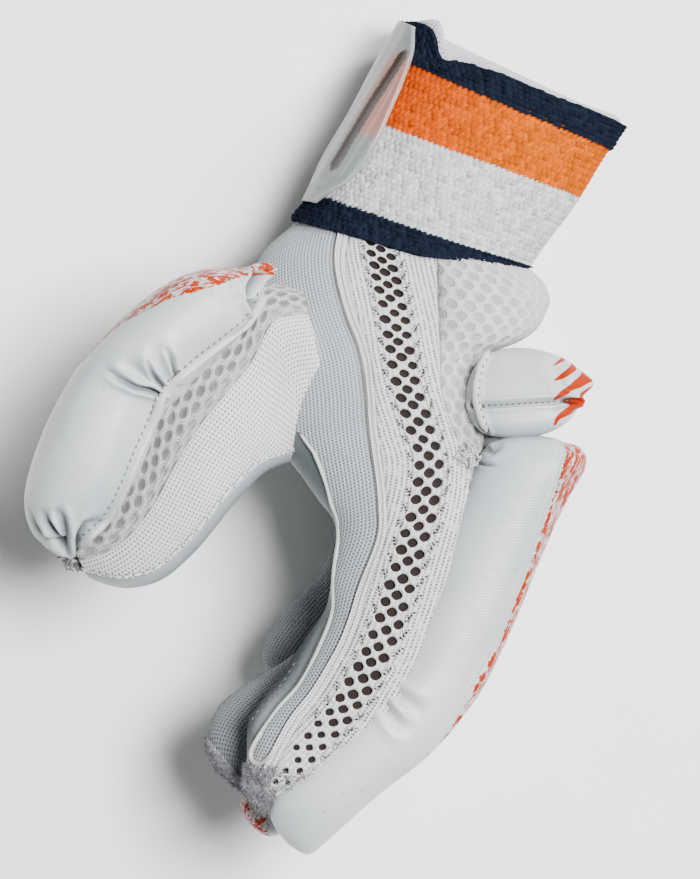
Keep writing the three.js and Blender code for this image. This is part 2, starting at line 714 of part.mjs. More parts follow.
// The four long lines of the net at a row: its two edges and the two edges of the band
function netLines(row) {
  const section = sideSection(row);
  const from = lapMoved(section, netLap(section), CLEARANCE / 2);
  const to = lapMoved(section, seamLap(section), -CLEARANCE / 2);
  const band = HOLE_COLUMN_SPACING + HOLE_WIDTH / 2 + BAND_MARGIN;
  const middle = holesLap(section, 0);
  const left = Math.max(holesLap(section, -band), THREE.MathUtils.lerp(from, middle, BORDER_SHARE));
  const right = Math.min(holesLap(section, band), THREE.MathUtils.lerp(to, middle, BORDER_SHARE));
  return [from, left, right, to].map((lap) => ({ row, lap }));
}

function netPanel() {
  const lines = rowsBetween(WRIST_ROW, TIP_ROW).map(netLines);
  const holes = netHoles();
  const spots = [...lines.flat(), ...holes.flat()];
  const inner = spots.length;
  const skin = (out) => spots.map(({ row, lap }) => pointAt(sideSection(row), lap, out));
  const points = [...skin(0), ...skin(-CLOTH)];
  const id = (i, line) => i * 4 + line;
  const faces = [];
  const both = (a, b, c) => faces.push([a, b, c], [inner + a, inner + c, inner + b]);
  const edge = (a, b) => faces.push([a, inner + a, inner + b], [a, inner + b, b]);
  for (let i = 0; i < lines.length - 1; i += 1) {
    for (const line of [0, 2]) {
      both(id(i, line), id(i + 1, line), id(i + 1, line + 1));
      both(id(i, line), id(i + 1, line + 1), id(i, line + 1));
    }
    edge(id(i, 0), id(i + 1, 0));
    edge(id(i + 1, 3), id(i, 3));
  }
  for (let line = 0; line < 3; line += 1) {
    edge(id(0, line + 1), id(0, line));
    edge(id(lines.length - 1, line), id(lines.length - 1, line + 1));
  }
  const down = lines.map((_, i) => id(i, 1));
  const up = lines.map((_, i) => id(i, 2)).reverse();
  const outline = [...down, ...up];
  const firstHole = lines.length * 4;
  const holeCorners = holes.map((hole, n) => hole.map((_, k) => firstHole + n * hole.length + k));
  const flat = (n) => new THREE.Vector2(spots[n].row, spots[n].lap);
  const order = [...outline, ...holeCorners.flat()];
  const triangles = THREE.ShapeUtils.triangulateShape(
    outline.map(flat),
    holeCorners.map((corners) => corners.map(flat)),
  );
  const turnOf = ([a, b, c]) => {
    const [p, q, r] = [a, b, c].map((n) => flat(order[n]));
    return q.sub(p).cross(r.sub(p));
  };
  for (const triangle of triangles) {
    const [a, b, c] = turnOf(triangle) > 0 ? triangle : [triangle[0], triangle[2], triangle[1]];
    both(order[a], order[b], order[c]);
  }
  for (const corners of holeCorners) {
    corners.forEach((corner, k) => edge(corner, corners[(k + 1) % corners.length]));
  }
  return geometryOf(points, faces);
}

// How far the padded back stands out beyond the hand, along the rows of the hand
const PUFF_COLUMNS = ['puff'];
const PUFF_ROWS = [[0.05], [0.59], [0.97], [1], [0.9], [0.6], [0.04], [0.03], [0.06], [0.07], [0.05], [0.03]];

function backPuff(row, across) {
  const along = readTable(PUFF_COLUMNS, PUFF_ROWS, row / ROWS_A_STEP).puff;
  return WRIST_PUFF * along * Math.sin(Math.PI * across) ** 0.5;
}

// An odd number, so that the middle column lies flat on the surface below
const ULNAR_COLUMNS = 5;

function addHandPanels() {
  const backEnd = () => BACK_MESH_END;
  const palmStart = () => PALM_START;
  const wholeLap = () => LAPS;
  const puffed = { extra: backPuff };
  const back = panel(handSection, WRIST_ROW, handEnd, seamLap, backEnd, BACK_COLUMNS, puffed);
  addPiece('back_mesh', back, COLOURS.mesh, 0.9);
  const ulnar = panel(handSection, WRIST_ROW, handEnd, backEnd, palmStart, ULNAR_COLUMNS);
  addPiece('ulnar_panel', ulnar, COLOURS.knit, 0.9);
  const palm = panel(handSection, WRIST_ROW, handEnd, palmStart, wholeLap, 3);
  addPiece('palm_panel', cut(palm, [thumbHollow]), COLOURS.leather, 0.6);
}

// Finger stalls. The forefinger's is a channel that closes the side panels to a tube.
const INDEX_COLUMNS = 5;
const INDEX_TIP_STEPS = 4;

function addStalls() {
  const channel = panel(indexSection, fingerStart, TIP_ROW, () => SECOND_EDGE, () => LAPS, INDEX_COLUMNS);
  addPiece('index_stall', channel, COLOURS.leather, 0.6);
  const tipRows = rowsBetween(rowMoved(indexSection, TIP_ROW, CLEARANCE), LAST_ROW);
  addPiece('index_tip', loft(tipRows.map(indexSection), INDEX_TIP_STEPS), COLOURS.towelling, 1);
  for (const name of ['middle', 'ring', 'little']) {
    addPiece(`${name}_stall`, stall(name), COLOURS.knit, 0.9);
  }
}

function stall(name) {
  const sectionAt = (row) => fingerSection(name, row);
  const first = rowMoved(sectionAt, 0, CLEARANCE / 2);
  const last = FINGER_ROWS[name].length - 1;
  const laps = lapsAround(STALL_STEPS);
  return wall(last, STALL_COLUMNS, (u, v, outer) => {
    const row = THREE.MathUtils.lerp(first, last, u);
    const lap = laps[Math.round(v * STALL_COLUMNS) % STALL_COLUMNS];
    const inner = grow(sectionAt(outer ? row : Math.min(row, last - CLOTH / FINGER_PITCH)), -CLOTH);
    return pointAt(outer ? sectionAt(row) : { ...inner, floor: CLOTH }, lap);
  }, { wraps: true, closedEnd: true });
}

// Padded rolls and knuckle blocks, cut to sit on what is under them
const BACK_COLUMNS = 6;
const FRONT_COLUMNS = 4;

// The padded back's outer form as a full body, grown by the clearance
function backBody() {
  const rings = bodyRows.map((row) => {
    const section = grown(handSection)(row);
    const from = seamLap(handSection(row));
    const laps = [];
    for (let i = 0; i < FRONT_COLUMNS; i += 1) {
      laps.push([from * i / FRONT_COLUMNS, 0]);
    }
    for (let i = 0; i <= BACK_COLUMNS; i += 1) {
      laps.push([THREE.MathUtils.lerp(from, BACK_MESH_END, i / BACK_COLUMNS), i / BACK_COLUMNS]);
    }
    for (let i = 1; i <= FRONT_COLUMNS; i += 1) {
      laps.push([THREE.MathUtils.lerp(BACK_MESH_END, FIRST_FOOT, i / FRONT_COLUMNS), 0]);
    }
    return laps.map(([lap, across]) => pointAt(section, lap, backPuff(row, across)));
  });
  return loftRings(rings);
}

function addPads() {
  const back = backBody();
  for (const name of FINGERS) {
    const rollRows = rowsBetween(0, ROLL_ROWS[name].length - 1, 1);
    const roll = loft(rollRows.map((row) => rollSection(name, row)));
    addPiece(`${name}_roll`, cut(roll, [stallBody(name), back]), COLOURS.padding, 0.45);
    const knuckleRows = rowsBetween(0, KNUCKLE_ROWS.length - 1, 1);
    const knuckle = loft(knuckleRows.map((row) => knuckleSection(name, row)));
    addPiece(`${name}_knuckle`, cut(knuckle, [back]), COLOURS.padding, 0.45);
  }
}

// The thumb, trimmed where it stands on the hand
const THUMB_ROLL_STEPS = 6;
const THUMB_TIP_STEPS = 4;
const THUMB_UNDERSIDE = -0.9;
const WELT_FROM_ROW = 1;

function addThumb() {
  const meshLap = (section) => lapAt(section, THUMB_MESH_SHARE);
  const knitLap = (section) => lapAt(section, THUMB_KNIT_SHARE);
  const last = THUMB_END_ROW;
  const under = () => THUMB_UNDERSIDE;
  const underside = () => LAPS + THUMB_UNDERSIDE;
  const step = 1;
  const mesh = panel(thumbSection, THUMB_MOUTH_ROW, last, under, meshLap, 3, { step });
  addPiece('thumb_mesh', cut(mesh, [handBody]), COLOURS.mesh, 0.9);
  const knit = panel(thumbSection, THUMB_MOUTH_ROW, last, meshLap, knitLap, 4, { step });
  addPiece('thumb_knit', cut(knit, [handBody]), COLOURS.knit, 0.9);
  const palm = panel(thumbSection, THUMB_MOUTH_ROW, last, knitLap, underside, 5, { step });
  addPiece('thumb_palm', cut(palm, [handBody]), COLOURS.leather, 0.6);
  const rollRows = rowsBetween(0, THUMB_ROLL_ROWS.length - 1, 1);
  const roll = loft(rollRows.map(thumbRollSection), THUMB_ROLL_STEPS);
  addPiece('thumb_roll', cut(roll, [thumbBody, handBody]), COLOURS.padding, 0.45);
  const rollBody = loft(rollRows.map((row) => grow(thumbRollSection(row), CLEARANCE)), THUMB_ROLL_STEPS);
  const weltFrom = (section) => lapAt(section, THUMB_WELT_FROM);
  const weltTo = (section) => lapAt(section, THUMB_WELT_TO);
  const tipRow = rowMoved(thumbSection, THUMB_END_ROW, CLEARANCE);
  const tip = loft([tipRow, THUMB_LAST_ROW, THUMB_LAST_ROW + 1].map(thumbTipSection), THUMB_TIP_STEPS);
  addPiece('thumb_tip', tip, COLOURS.padding, 0.6);
  const welt = panel(thumbSection, WELT_FROM_ROW, THUMB_LAST_ROW - 1, weltFrom, weltTo, 2, {
    rise: CLEARANCE + WELT_WALL,
    thickness: WELT_WALL,
    step,
  });
  addPiece('thumb_welt', cut(welt, [rollBody, handBody]), COLOURS.padding, 0.5);
}

// The knitted cuff with its lining and strap
const CUFF_STEPS = 20;
const CUFF_BAND_ROWS = 5;
const LINING_ROWS = 2;
const STRAP_COLUMNS_ACROSS = 12;
const STRAP_ROOM = 0.5;

function rimDip(lap) {
  if (lap > SECOND_EDGE) {
    return 0;
  }
  const share = (1 - Math.cos(lap * QUARTER)) / 2;
  return readTable(RIM_COLUMNS, RIM_ROWS, share * (RIM_ROWS.length - 1)).dip;
}

function cuffTube(rows, first, proud, outerRise, thickness) {
  const laps = lapsAround(CUFF_STEPS / 2 - 1);
  return wall(rows, CUFF_STEPS, (u, v, outer) => {
    const lap = laps[Math.round(v * CUFF_STEPS) % CUFF_STEPS];
    const end = (1 - rimDip(lap)) * CUFF_LAST_ROW + proud;
    const section = cuffSection(THREE.MathUtils.lerp(first, Math.min(end, CUFF_LAST_ROW), u));
    const past = Math.max(end - CUFF_LAST_ROW, 0) * u * cuffRowLength();
    const point = pointAt(section, lap, outer ? outerRise : outerRise - thickness);
    return point.addScaledVector(cuffWay(), past);
  }, { wraps: true });
}

// The cuff's direction and the mean length of one of its rows
function cuffWay() {
  const low = cuffSection(CUFF_LAST_ROW - 1);
  const high = cuffSection(CUFF_LAST_ROW);
  const way = high.a.clone().add(high.b).sub(low.a).sub(low.b).normalize();
  return new THREE.Vector3(way.x, way.y, 0);
}

function cuffRowLength() {
  const low = cuffSection(CUFF_LAST_ROW - 1);
  const high = cuffSection(CUFF_LAST_ROW);
  return (low.a.distanceTo(high.a) + low.b.distanceTo(high.b)) / 2;
}

function addCuff() {
  const rowLength = cuffRowLength();
  const start = rowMoved(cuffSection, 0, CLEARANCE);
  addPiece('cuff_band', cuffTube(CUFF_BAND_ROWS, start, 0, 0, CUFF_WALL), COLOURS.navy, 0.95);
  const liningStart = CUFF_LAST_ROW - LINING_DEPTH / rowLength;
  const inset = -CUFF_WALL - CLEARANCE;
  const lining = cuffTube(LINING_ROWS, liningStart, LINING_PROUD / rowLength, inset, LINING_WALL);
  addPiece('cuff_lining', lining, COLOURS.lining, 0.9);
  const strapLap = (section, row) => {
    const along = (row / CUFF_LAST_ROW - STRAP_FROM) / (STRAP_TO - STRAP_FROM);
    return lapAt(section, readTable(STRAP_COLUMNS, STRAP_ROWS, along * (STRAP_ROWS.length - 1)).reach);
  };
  const from = STRAP_FROM * CUFF_LAST_ROW;
  const to = STRAP_TO * CUFF_LAST_ROW;
  const under = () => STRAP_UNDERSIDE;
  const strap = panel(cuffSection, from, to, under, strapLap, STRAP_COLUMNS_ACROSS, {
    rise: CLEARANCE + STRAP_ROOM + STRAP_WALL,
    thickness: STRAP_WALL,
  });
  addPiece('wrist_strap', strap, COLOURS.strap, 0.35);
}

addCuff();
addSidePanels();
addHandPanels();
addStalls();
addPads();
addThumb();

export default glove;
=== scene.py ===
import math
import random

import bpy
import numpy as np
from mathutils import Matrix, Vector
from mathutils.geometry import delaunay_2d_cdt


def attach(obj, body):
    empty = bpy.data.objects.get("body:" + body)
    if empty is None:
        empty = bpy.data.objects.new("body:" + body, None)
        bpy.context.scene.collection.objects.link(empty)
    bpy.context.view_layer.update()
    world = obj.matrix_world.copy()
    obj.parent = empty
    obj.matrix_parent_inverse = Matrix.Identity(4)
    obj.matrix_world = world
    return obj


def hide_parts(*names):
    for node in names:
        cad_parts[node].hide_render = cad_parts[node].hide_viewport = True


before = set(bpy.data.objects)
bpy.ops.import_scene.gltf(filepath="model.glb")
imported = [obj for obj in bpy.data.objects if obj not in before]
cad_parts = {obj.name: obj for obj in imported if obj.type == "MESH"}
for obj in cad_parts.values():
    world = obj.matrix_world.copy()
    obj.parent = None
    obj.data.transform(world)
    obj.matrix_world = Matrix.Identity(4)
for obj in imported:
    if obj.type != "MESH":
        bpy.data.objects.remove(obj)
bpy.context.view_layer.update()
random.seed(7)
rng = np.random.default_rng(7)
scene = bpy.context.scene

# Sizes in millimetres, as in the solids
GLOVE_LENGTH = 288.0
GLOVE_WIDTH = 205.4
HAND_BREADTH = 107.0
WRIST_BREADTH = 66.0
THUMB_THICKNESS = 33.0
THUMB_ROLL_THICKNESS = 52.0
WRIST_PUFF = 16.0
SETTLE = 1.5
CLOTH = 1.6
CUFF_WALL = 2.4
FINGER_PITCH = HAND_BREADTH / 4
FINGER_NAMES = ["little", "ring", "middle", "index"]

# Roundness of a section, from an ellipse at 2 to a box, and the share of its height that an end takes
CLOTH_POWER = 2.3
PAD_POWER = 2.7
END_SHARE = 0.47
QUARTER = math.pi / 2
TWO_PI = 2 * math.pi

# Places are shares of the photo's frame, or its pixels, with the glove's origin at HOME
SIDE_X = GLOVE_WIDTH / 0.604
SIDE_Y = GLOVE_LENGTH / 0.847
HOME = 0.372
HOME_PIXEL = 372
PIXEL = 0.34
PHOTO_HEIGHT = 879

# Laps go round a section: 0 palm edge, 1 top, 2 back edge, 3 to 5 the floor side, 6 the palm edge
LAPS = 6
BACK_SEAM = 3.35
PALM_SEAM = 4.65
HAND_END = 7.98
THUMB_START, THUMB_END = 0.1, 9.5


# Hand and forefinger in one run: palm edge, back edge, then the columns that are named below
HAND_ROWS = [
    [0.297, 0.219, 0.531, 0.268, 0.175, 0.222, 0.60, 0.346, 0.620, 0.300],
    [0.262, 0.252, 0.507, 0.292, 0.290, 0.336, 0.72, 0.500, 0.700, 0.290],
    [0.243, 0.300, 0.495, 0.325, 0.395, 0.440, 0.78, 0.600, 0.790, 0.270],
    [0.238, 0.345, 0.487, 0.355, 0.478, 0.522, 0.815, 0.650, 0.870, 0.250],
    [0.246, 0.392, 0.483, 0.390, 0.498, 0.540, 0.827, 0.683, 0.935, 0.225],
    [0.268, 0.436, 0.482, 0.425, 0.463, 0.510, 0.86, 0.710, 0.975, 0.200],
    [0.296, 0.470, 0.482, 0.462, 0.409, 0.462, 0.914, 0.715, 0.995, 0.170],
    [0.318, 0.500, 0.478, 0.512, 0.363, 0.425, 0.955, 0.656, 1.000, 0.145],
    [0.335, 0.528, 0.470, 0.556, 0.300, 0.363, 0.98, 0.570, 1.000, 0.118],
    [0.331, 0.580, 0.453, 0.612, 0.210, 0.290, 1.00, 0.533, 1.000, 0.118],
    [0.330, 0.612, 0.438, 0.652, 0.160, 0.250, 1.00, 0.500, 1.000, 0.118],
    [0.318, 0.644, 0.421, 0.690, 0.150, 0.240, 1.00, 0.485, 1.000, 0.118],
    [0.298, 0.682, 0.396, 0.730, 0.130, 0.230, 1.00, 0.480, 0.997, 0.116],
    [0.275, 0.708, 0.365, 0.768, 0.150, 0.250, 1.00, 0.478, 0.988, 0.108],
    [0.258, 0.735, 0.325, 0.795, 0.200, 0.330, 1.00, 0.490, 0.972, 0.092],
    [0.248, 0.762, 0.287, 0.812, 0.250, 0.450, 1.00, 0.500, 0.940, 0.062],
    [0.243, 0.786, 0.262, 0.810, 0.250, 0.450, 1.00, 0.500, 0.905, 0.028],
]
TAPE, NET, SEAM, HOLES, TOP, ROOF = 4, 5, 6, 7, 8, 9
CROTCH_ROW, TIP_ROW, LAST_ROW = 8, 15, 16
PIPING_ROWS = [4.5, 5, 5.5, 6, 6.5, 7, 8, 15]
PIPING_SHARES = [0, 0.165, 0.17, 0.145, 0.12, 0.09, 0.03, 0.03]
PIPING_START = 5.0

# Fingers, rolls and thumb: both edges, then half the thickness, or the middle height and that half

FINGER_ROWS = {
    "middle": [
        [0.335, 0.528, 0.470, 0.556, 0.49], [0.336, 0.572, 0.466, 0.612, 0.49],
        [0.322, 0.620, 0.446, 0.665, 0.49], [0.294, 0.655, 0.415, 0.705, 0.49],
        [0.262, 0.675, 0.375, 0.742, 0.49], [0.232, 0.694, 0.330, 0.775, 0.47],
        [0.213, 0.717, 0.285, 0.795, 0.42], [0.207, 0.742, 0.256, 0.796, 0.34],
        [0.214, 0.768, 0.238, 0.788, 0.15]],
    "ring": [
        [0.335, 0.528, 0.470, 0.556, 0.49], [0.322, 0.572, 0.460, 0.614, 0.49],
        [0.297, 0.598, 0.430, 0.665, 0.49], [0.278, 0.620, 0.378, 0.696, 0.48],
        [0.265, 0.640, 0.325, 0.700, 0.42], [0.261, 0.656, 0.288, 0.692, 0.30],
        [0.264, 0.668, 0.272, 0.680, 0.12]],
    "little": [
        [0.335, 0.528, 0.470, 0.556, 0.49], [0.326, 0.568, 0.452, 0.606, 0.49],
        [0.306, 0.596, 0.418, 0.652, 0.48], [0.290, 0.616, 0.370, 0.680, 0.45],
        [0.280, 0.634, 0.325, 0.682, 0.38], [0.276, 0.648, 0.296, 0.676, 0.26],
        [0.278, 0.658, 0.284, 0.668, 0.11]],
}
ROLL_ROWS = {
    "index": [
        [0.486, 0.443, 0.566, 0.441, 0.40], [0.474, 0.462, 0.583, 0.463, 0.48],
        [0.456, 0.502, 0.566, 0.496, 0.49], [0.438, 0.540, 0.546, 0.545, 0.49],
        [0.424, 0.583, 0.529, 0.590, 0.49], [0.408, 0.620, 0.509, 0.635, 0.49],
        [0.388, 0.664, 0.489, 0.682, 0.485], [0.366, 0.693, 0.461, 0.722, 0.49],
        [0.340, 0.718, 0.430, 0.757, 0.49], [0.312, 0.746, 0.392, 0.786, 0.48],
        [0.286, 0.774, 0.362, 0.812, 0.45], [0.268, 0.798, 0.335, 0.838, 0.40],
        [0.270, 0.818, 0.314, 0.857, 0.28]],
    "middle": [
        [0.482, 0.446, 0.586, 0.447, 0.40], [0.474, 0.464, 0.591, 0.466, 0.49],
        [0.464, 0.505, 0.570, 0.500, 0.49], [0.452, 0.555, 0.545, 0.552, 0.49],
        [0.442, 0.600, 0.524, 0.606, 0.49], [0.424, 0.650, 0.504, 0.652, 0.49],
        [0.396, 0.688, 0.478, 0.700, 0.49], [0.360, 0.728, 0.433, 0.748, 0.49],
        [0.322, 0.752, 0.392, 0.778, 0.49], [0.288, 0.776, 0.346, 0.808, 0.47],
        [0.258, 0.786, 0.306, 0.830, 0.42], [0.238, 0.800, 0.271, 0.841, 0.28]],
    "ring": [
        [0.480, 0.447, 0.572, 0.446, 0.40], [0.474, 0.464, 0.586, 0.468, 0.49],
        [0.466, 0.505, 0.566, 0.500, 0.49], [0.456, 0.555, 0.544, 0.553, 0.49],
        [0.444, 0.596, 0.524, 0.606, 0.49], [0.424, 0.630, 0.500, 0.660, 0.49],
        [0.392, 0.664, 0.455, 0.710, 0.48], [0.354, 0.678, 0.396, 0.742, 0.46],
        [0.316, 0.680, 0.338, 0.742, 0.40], [0.290, 0.676, 0.298, 0.716, 0.28]],
    "little": [
        [0.480, 0.449, 0.562, 0.450, 0.40], [0.472, 0.466, 0.576, 0.470, 0.49],
        [0.462, 0.505, 0.558, 0.503, 0.49], [0.450, 0.550, 0.538, 0.553, 0.49],
        [0.436, 0.586, 0.516, 0.602, 0.49], [0.412, 0.618, 0.486, 0.652, 0.49],
        [0.380, 0.644, 0.440, 0.696, 0.47], [0.348, 0.658, 0.386, 0.718, 0.42],
        [0.318, 0.660, 0.336, 0.712, 0.34], [0.298, 0.656, 0.304, 0.690, 0.22]],
}
KNUCKLE_ROWS = [
    [0.484, 0.355, 0.550, 0.352, 0.900, 0.33], [0.474, 0.364, 0.570, 0.360, 0.915, 0.45],
    [0.466, 0.378, 0.586, 0.375, 0.935, 0.49], [0.462, 0.391, 0.589, 0.387, 0.950, 0.49],
    [0.462, 0.403, 0.579, 0.402, 0.965, 0.46], [0.464, 0.416, 0.578, 0.413, 0.980, 0.48],
    [0.470, 0.427, 0.567, 0.426, 0.990, 0.45], [0.478, 0.433, 0.556, 0.431, 0.995, 0.36],
]
THUMB_ROWS = [
    [0.306, 0.290, 0.340, 0.440, 0.660, 0.58], [0.262, 0.285, 0.314, 0.454, 0.755, 0.56],
    [0.232, 0.318, 0.286, 0.462, 0.820, 0.54], [0.198, 0.344, 0.263, 0.472, 0.875, 0.52],
    [0.163, 0.378, 0.240, 0.495, 0.905, 0.50], [0.141, 0.418, 0.218, 0.522, 0.915, 0.50],
    [0.124, 0.460, 0.194, 0.551, 0.915, 0.48], [0.106, 0.496, 0.163, 0.577, 0.915, 0.44],
    [0.092, 0.520, 0.130, 0.586, 0.915, 0.36], [0.078, 0.538, 0.100, 0.580, 0.915, 0.24],
    [0.071, 0.550, 0.080, 0.570, 0.915, 0.10],
]
THUMB_ROLL_ROWS = [
    [0.264, 0.266, 0.262, 0.286, 0.880, 0.10], [0.236, 0.268, 0.254, 0.318, 0.895, 0.32],
    [0.197, 0.270, 0.236, 0.340, 0.910, 0.44], [0.156, 0.290, 0.210, 0.362, 0.920, 0.49],
    [0.111, 0.330, 0.178, 0.392, 0.925, 0.50], [0.077, 0.370, 0.162, 0.412, 0.925, 0.48],
    [0.050, 0.418, 0.149, 0.453, 0.925, 0.50], [0.033, 0.460, 0.137, 0.484, 0.925, 0.49],
    [0.024, 0.500, 0.122, 0.508, 0.925, 0.44], [0.032, 0.532, 0.104, 0.530, 0.925, 0.33],
    [0.054, 0.550, 0.082, 0.546, 0.925, 0.14],
]
CUFF_ROWS = [
    [0.298, 0.217, 0.531, 0.266, 1.000], [0.314, 0.185, 0.549, 0.240, 1.005],
    [0.331, 0.150, 0.577, 0.203, 0.990], [0.356, 0.107, 0.598, 0.168, 0.975],
    [0.381, 0.060, 0.614, 0.144, 0.965], [0.405, 0.018, 0.627, 0.122, 0.960],
]

# Single columns: the dip of the cuff's rim, the strap's reach and the puff of the wrist
RIM_ROWS = [[0], [-0.03], [0.10], [0.075], [0.06], [0.05], [0.045], [0.03], [0.015], [0]]
STRAP_ROWS = [[0.05], [0.12], [0.155], [0.155], [0.14], [0.13], [0.11], [0.06]]
PUFF_ROWS = [[0.05], [0.59], [0.97], [1], [0.9], [0.6], [0.04], [0.03], [0.06], [0.07], [0.05], [0.03]]


def unit(x):
    """Keeps values between 0 and 1."""
    return np.clip(x, 0, 1)


def bell(x, middle, width):
    """A smooth bump of height 1."""
    return np.exp(-((x - middle) / width) ** 2)


def curve(x, power):
    """A power that keeps the sign."""
    return np.sign(x) * np.abs(x) ** power


def normed(v):
    return v / np.linalg.norm(v, axis=-1, keepdims=True)


def travel(p):
    """Distances along a row of points."""
    return np.concatenate([[0], np.linalg.norm(np.diff(p, axis=0), axis=1).cumsum()])


def waves(x, y, size, seed=0.0):
    """Slow smooth unevenness, from a few summed waves."""
    total = 0
    for k in range(6):
        a = 1.7 * k + seed
        total = total + np.sin((x * math.cos(a) + y * math.sin(a)) / size * (1 + 0.37 * k) + 2.1 * k + seed)
    return total / 6


def read(rows, place):
    """The columns of a table at places along its rows, on a smooth curve."""
    rows = np.array(rows, float)
    last = len(rows) - 1
    place = np.clip(np.asarray(place, float), 0, last)
    i = np.minimum(np.floor(place).astype(int), last - 1)
    f = (place - i)[..., None]
    p, q, r, s = (rows[np.clip(i + k, 0, last)] for k in (-1, 0, 1, 2))
    return q + ((r - p) * f + (2 * p - 5 * q + 4 * r - s) * f ** 2 + (3 * q - 3 * r + s - p) * f ** 3) / 2


def square(x, y):
    """A place in shares of the photo's frame, in millimetres."""
    return np.stack([(x - HOME) * SIDE_X, (HOME - y) * SIDE_Y], -1)


def spot(x, y):
    """A place in the photo's pixels, in millimetres."""
    return square(np.asarray(x, float) / 1000, np.asarray(y, float) / 1000)


def track(pixels):
    return spot(*zip(*pixels))


def pixels_of(x, y):
    return x / PIXEL + HOME_PIXEL, HOME_PIXEL - y / PIXEL


# Forms: functions from rows to sections
def section(at, low, high, roof, keel, power=CLOTH_POWER):
    a, b = square(at[..., 0], at[..., 1]), square(at[..., 2], at[..., 3])
    full = [np.broadcast_to(np.asarray(v, float), a.shape[:-1]) for v in (low, high, roof, keel)]
    return dict(zip(("a", "b", "low", "high", "roof", "keel"), [a, b, *full]), power=power)


def even(at, middle, half, power):
    end = 2 * half * END_SHARE
    return section(at, middle - half, middle + half, end, end, power)


def hand(row):
    at = read(HAND_ROWS, row)
    roof = at[..., ROOF] * HAND_BREADTH
    return {**section(at, -SETTLE, at[..., TOP] * HAND_BREADTH, roof, roof), "at": at}


def index(row):
    one = hand(row)
    return {**one, "low": one["high"] - one["roof"] / END_SHARE}


def side(row):
    """The hand up to the crotch, and only the forefinger past it."""
    one = hand(row)
    return {**one, "low": np.where(np.asarray(row) > CROTCH_ROW, index(row)["low"], one["low"])}


def finger_middle(number):
    return (number + 0.5) * FINGER_PITCH - (SETTLE if number == 0 else 0)


def finger_half(number, share):
    return share * FINGER_PITCH + (SETTLE * share if number == 0 else 0)


def finger_form(table, name, power):
    number = FINGER_NAMES.index(name)

    def form(row):
        at = read(table[name], row)
        return even(at, finger_middle(number), finger_half(number, at[..., 4]), power)
    return form


def knuckle(name):
    number = FINGER_NAMES.index(name)

    def form(row):
        at = read(KNUCKLE_ROWS, row)
        spread = at[..., 4]
        return even(at, finger_middle(number) * spread, finger_half(number, at[..., 5]) * spread, PAD_POWER)
    return form


def thumb(row):
    at = read(THUMB_ROWS, row)
    return even(at, at[..., 4] * HAND_BREADTH, at[..., 5] * THUMB_THICKNESS, CLOTH_POWER)


def thumb_roll(row):
    at = read(THUMB_ROLL_ROWS, row)
    return even(at, at[..., 4] * HAND_BREADTH, at[..., 5] * THUMB_ROLL_THICKNESS, PAD_POWER)


def cuff(row):
    at = read(CUFF_ROWS, row)
    high = at[..., 4] * WRIST_BREADTH
    end = (high + SETTLE) * END_SHARE
    return section(at, -SETTLE, high, end, end)


def point(sec, lap, out=0.0):
    """Points of sections at laps round them, a distance out from the form."""
    shape = np.broadcast_shapes(sec["low"].shape, np.shape(lap))
    low, high, roof, keel = (np.broadcast_to(sec[k], shape) for k in ("low", "high", "roof", "keel"))
    a, b = (np.broadcast_to(sec[k], shape + (2,)) for k in ("a", "b"))
    t = np.broadcast_to(np.mod(lap, LAPS), shape)
    power = sec["power"]
    way = b - a
    length = np.linalg.norm(way, axis=-1)
    half = length / 2
    top, wall_b, wall_a = t <= 2, (t > 2) & (t < 3), t > 5
    angle = np.where(top, t, t - 1) * QUARTER
    across = np.where(wall_b, 1, np.where(wall_a, -1, curve(-np.cos(angle), 2 / power)))
    up = np.where(wall_a | wall_b, 0, curve(np.sin(angle), 2 / power))
    rise = np.where(top | wall_a | wall_b, roof, keel)
    upper, lower = high - roof, low + keel
    base = np.where(top, upper, lower)
    base = np.where(wall_b, upper + (lower - upper) * (t - 2), base)
    base = np.where(wall_a, lower + (upper - lower) * (t - 5), base)
    lean_across = curve(across, power - 1) / half
    lean_up = curve(up, power - 1) / rise
    lean = np.hypot(lean_across, lean_up)
    shift = across * half + out * lean_across / lean
    z = base + up * rise + out * lean_up / lean
    xy = a + way / length[..., None] * (shift + half)[..., None]
    z = np.maximum(z, -np.minimum(out, 0))
    return np.concatenate([xy, z[..., None]], -1)


def lap_at(share):
    """The lap on top of a section at a share of the way from its palm edge to its back edge."""
    return np.arccos(curve(1 - 2 * unit(share), CLOTH_POWER / 2)) / QUARTER


class Skin:
    """Distances round a form, in millimetres from its first edge, at given rows."""

    def __init__(self, form, rows, low=-1.6, high=7.6, count=460):
        self.rows = np.asarray(rows, float)
        self.sec = form(self.rows[:, None])
        self.laps = np.linspace(low, high, count)
        p = point(self.sec, self.laps[None, :])
        step = np.linalg.norm(np.diff(p, axis=1), axis=-1)
        self.far = np.concatenate([np.zeros((len(rows), 1)), step.cumsum(1)], 1)
        self.far -= np.array([np.interp(0, self.laps, f) for f in self.far])[:, None]

    def dist(self, lap):
        lap = np.broadcast_to(lap, self.rows.shape)
        return np.array([np.interp(one, self.laps, f) for one, f in zip(lap, self.far)])

    def lap(self, dist):
        return np.array([np.interp(d, f, self.laps) for d, f in zip(dist, self.far)])


def even_rows(form, first, last, step, lap=1.0):
    """Rows at even distances along a form, and these distances."""
    fine = np.linspace(first, last, 300)
    far = travel(point(form(fine), np.full(300, lap)))
    count = max(int(round(far[-1] / step)), 3)
    at = np.linspace(0, far[-1], count + 1)
    return np.interp(at, far, fine), at


# Meshes
pieces = {}


def colour_points(me, tint):
    """Gives a mesh its colours or masks, three values for each point."""
    rgba = np.concatenate([np.asarray(tint, float), np.ones((len(tint), 1))], 1)
    me.color_attributes.new("tint", "FLOAT_COLOR", "POINT").data.foreach_set("color", rgba.ravel())


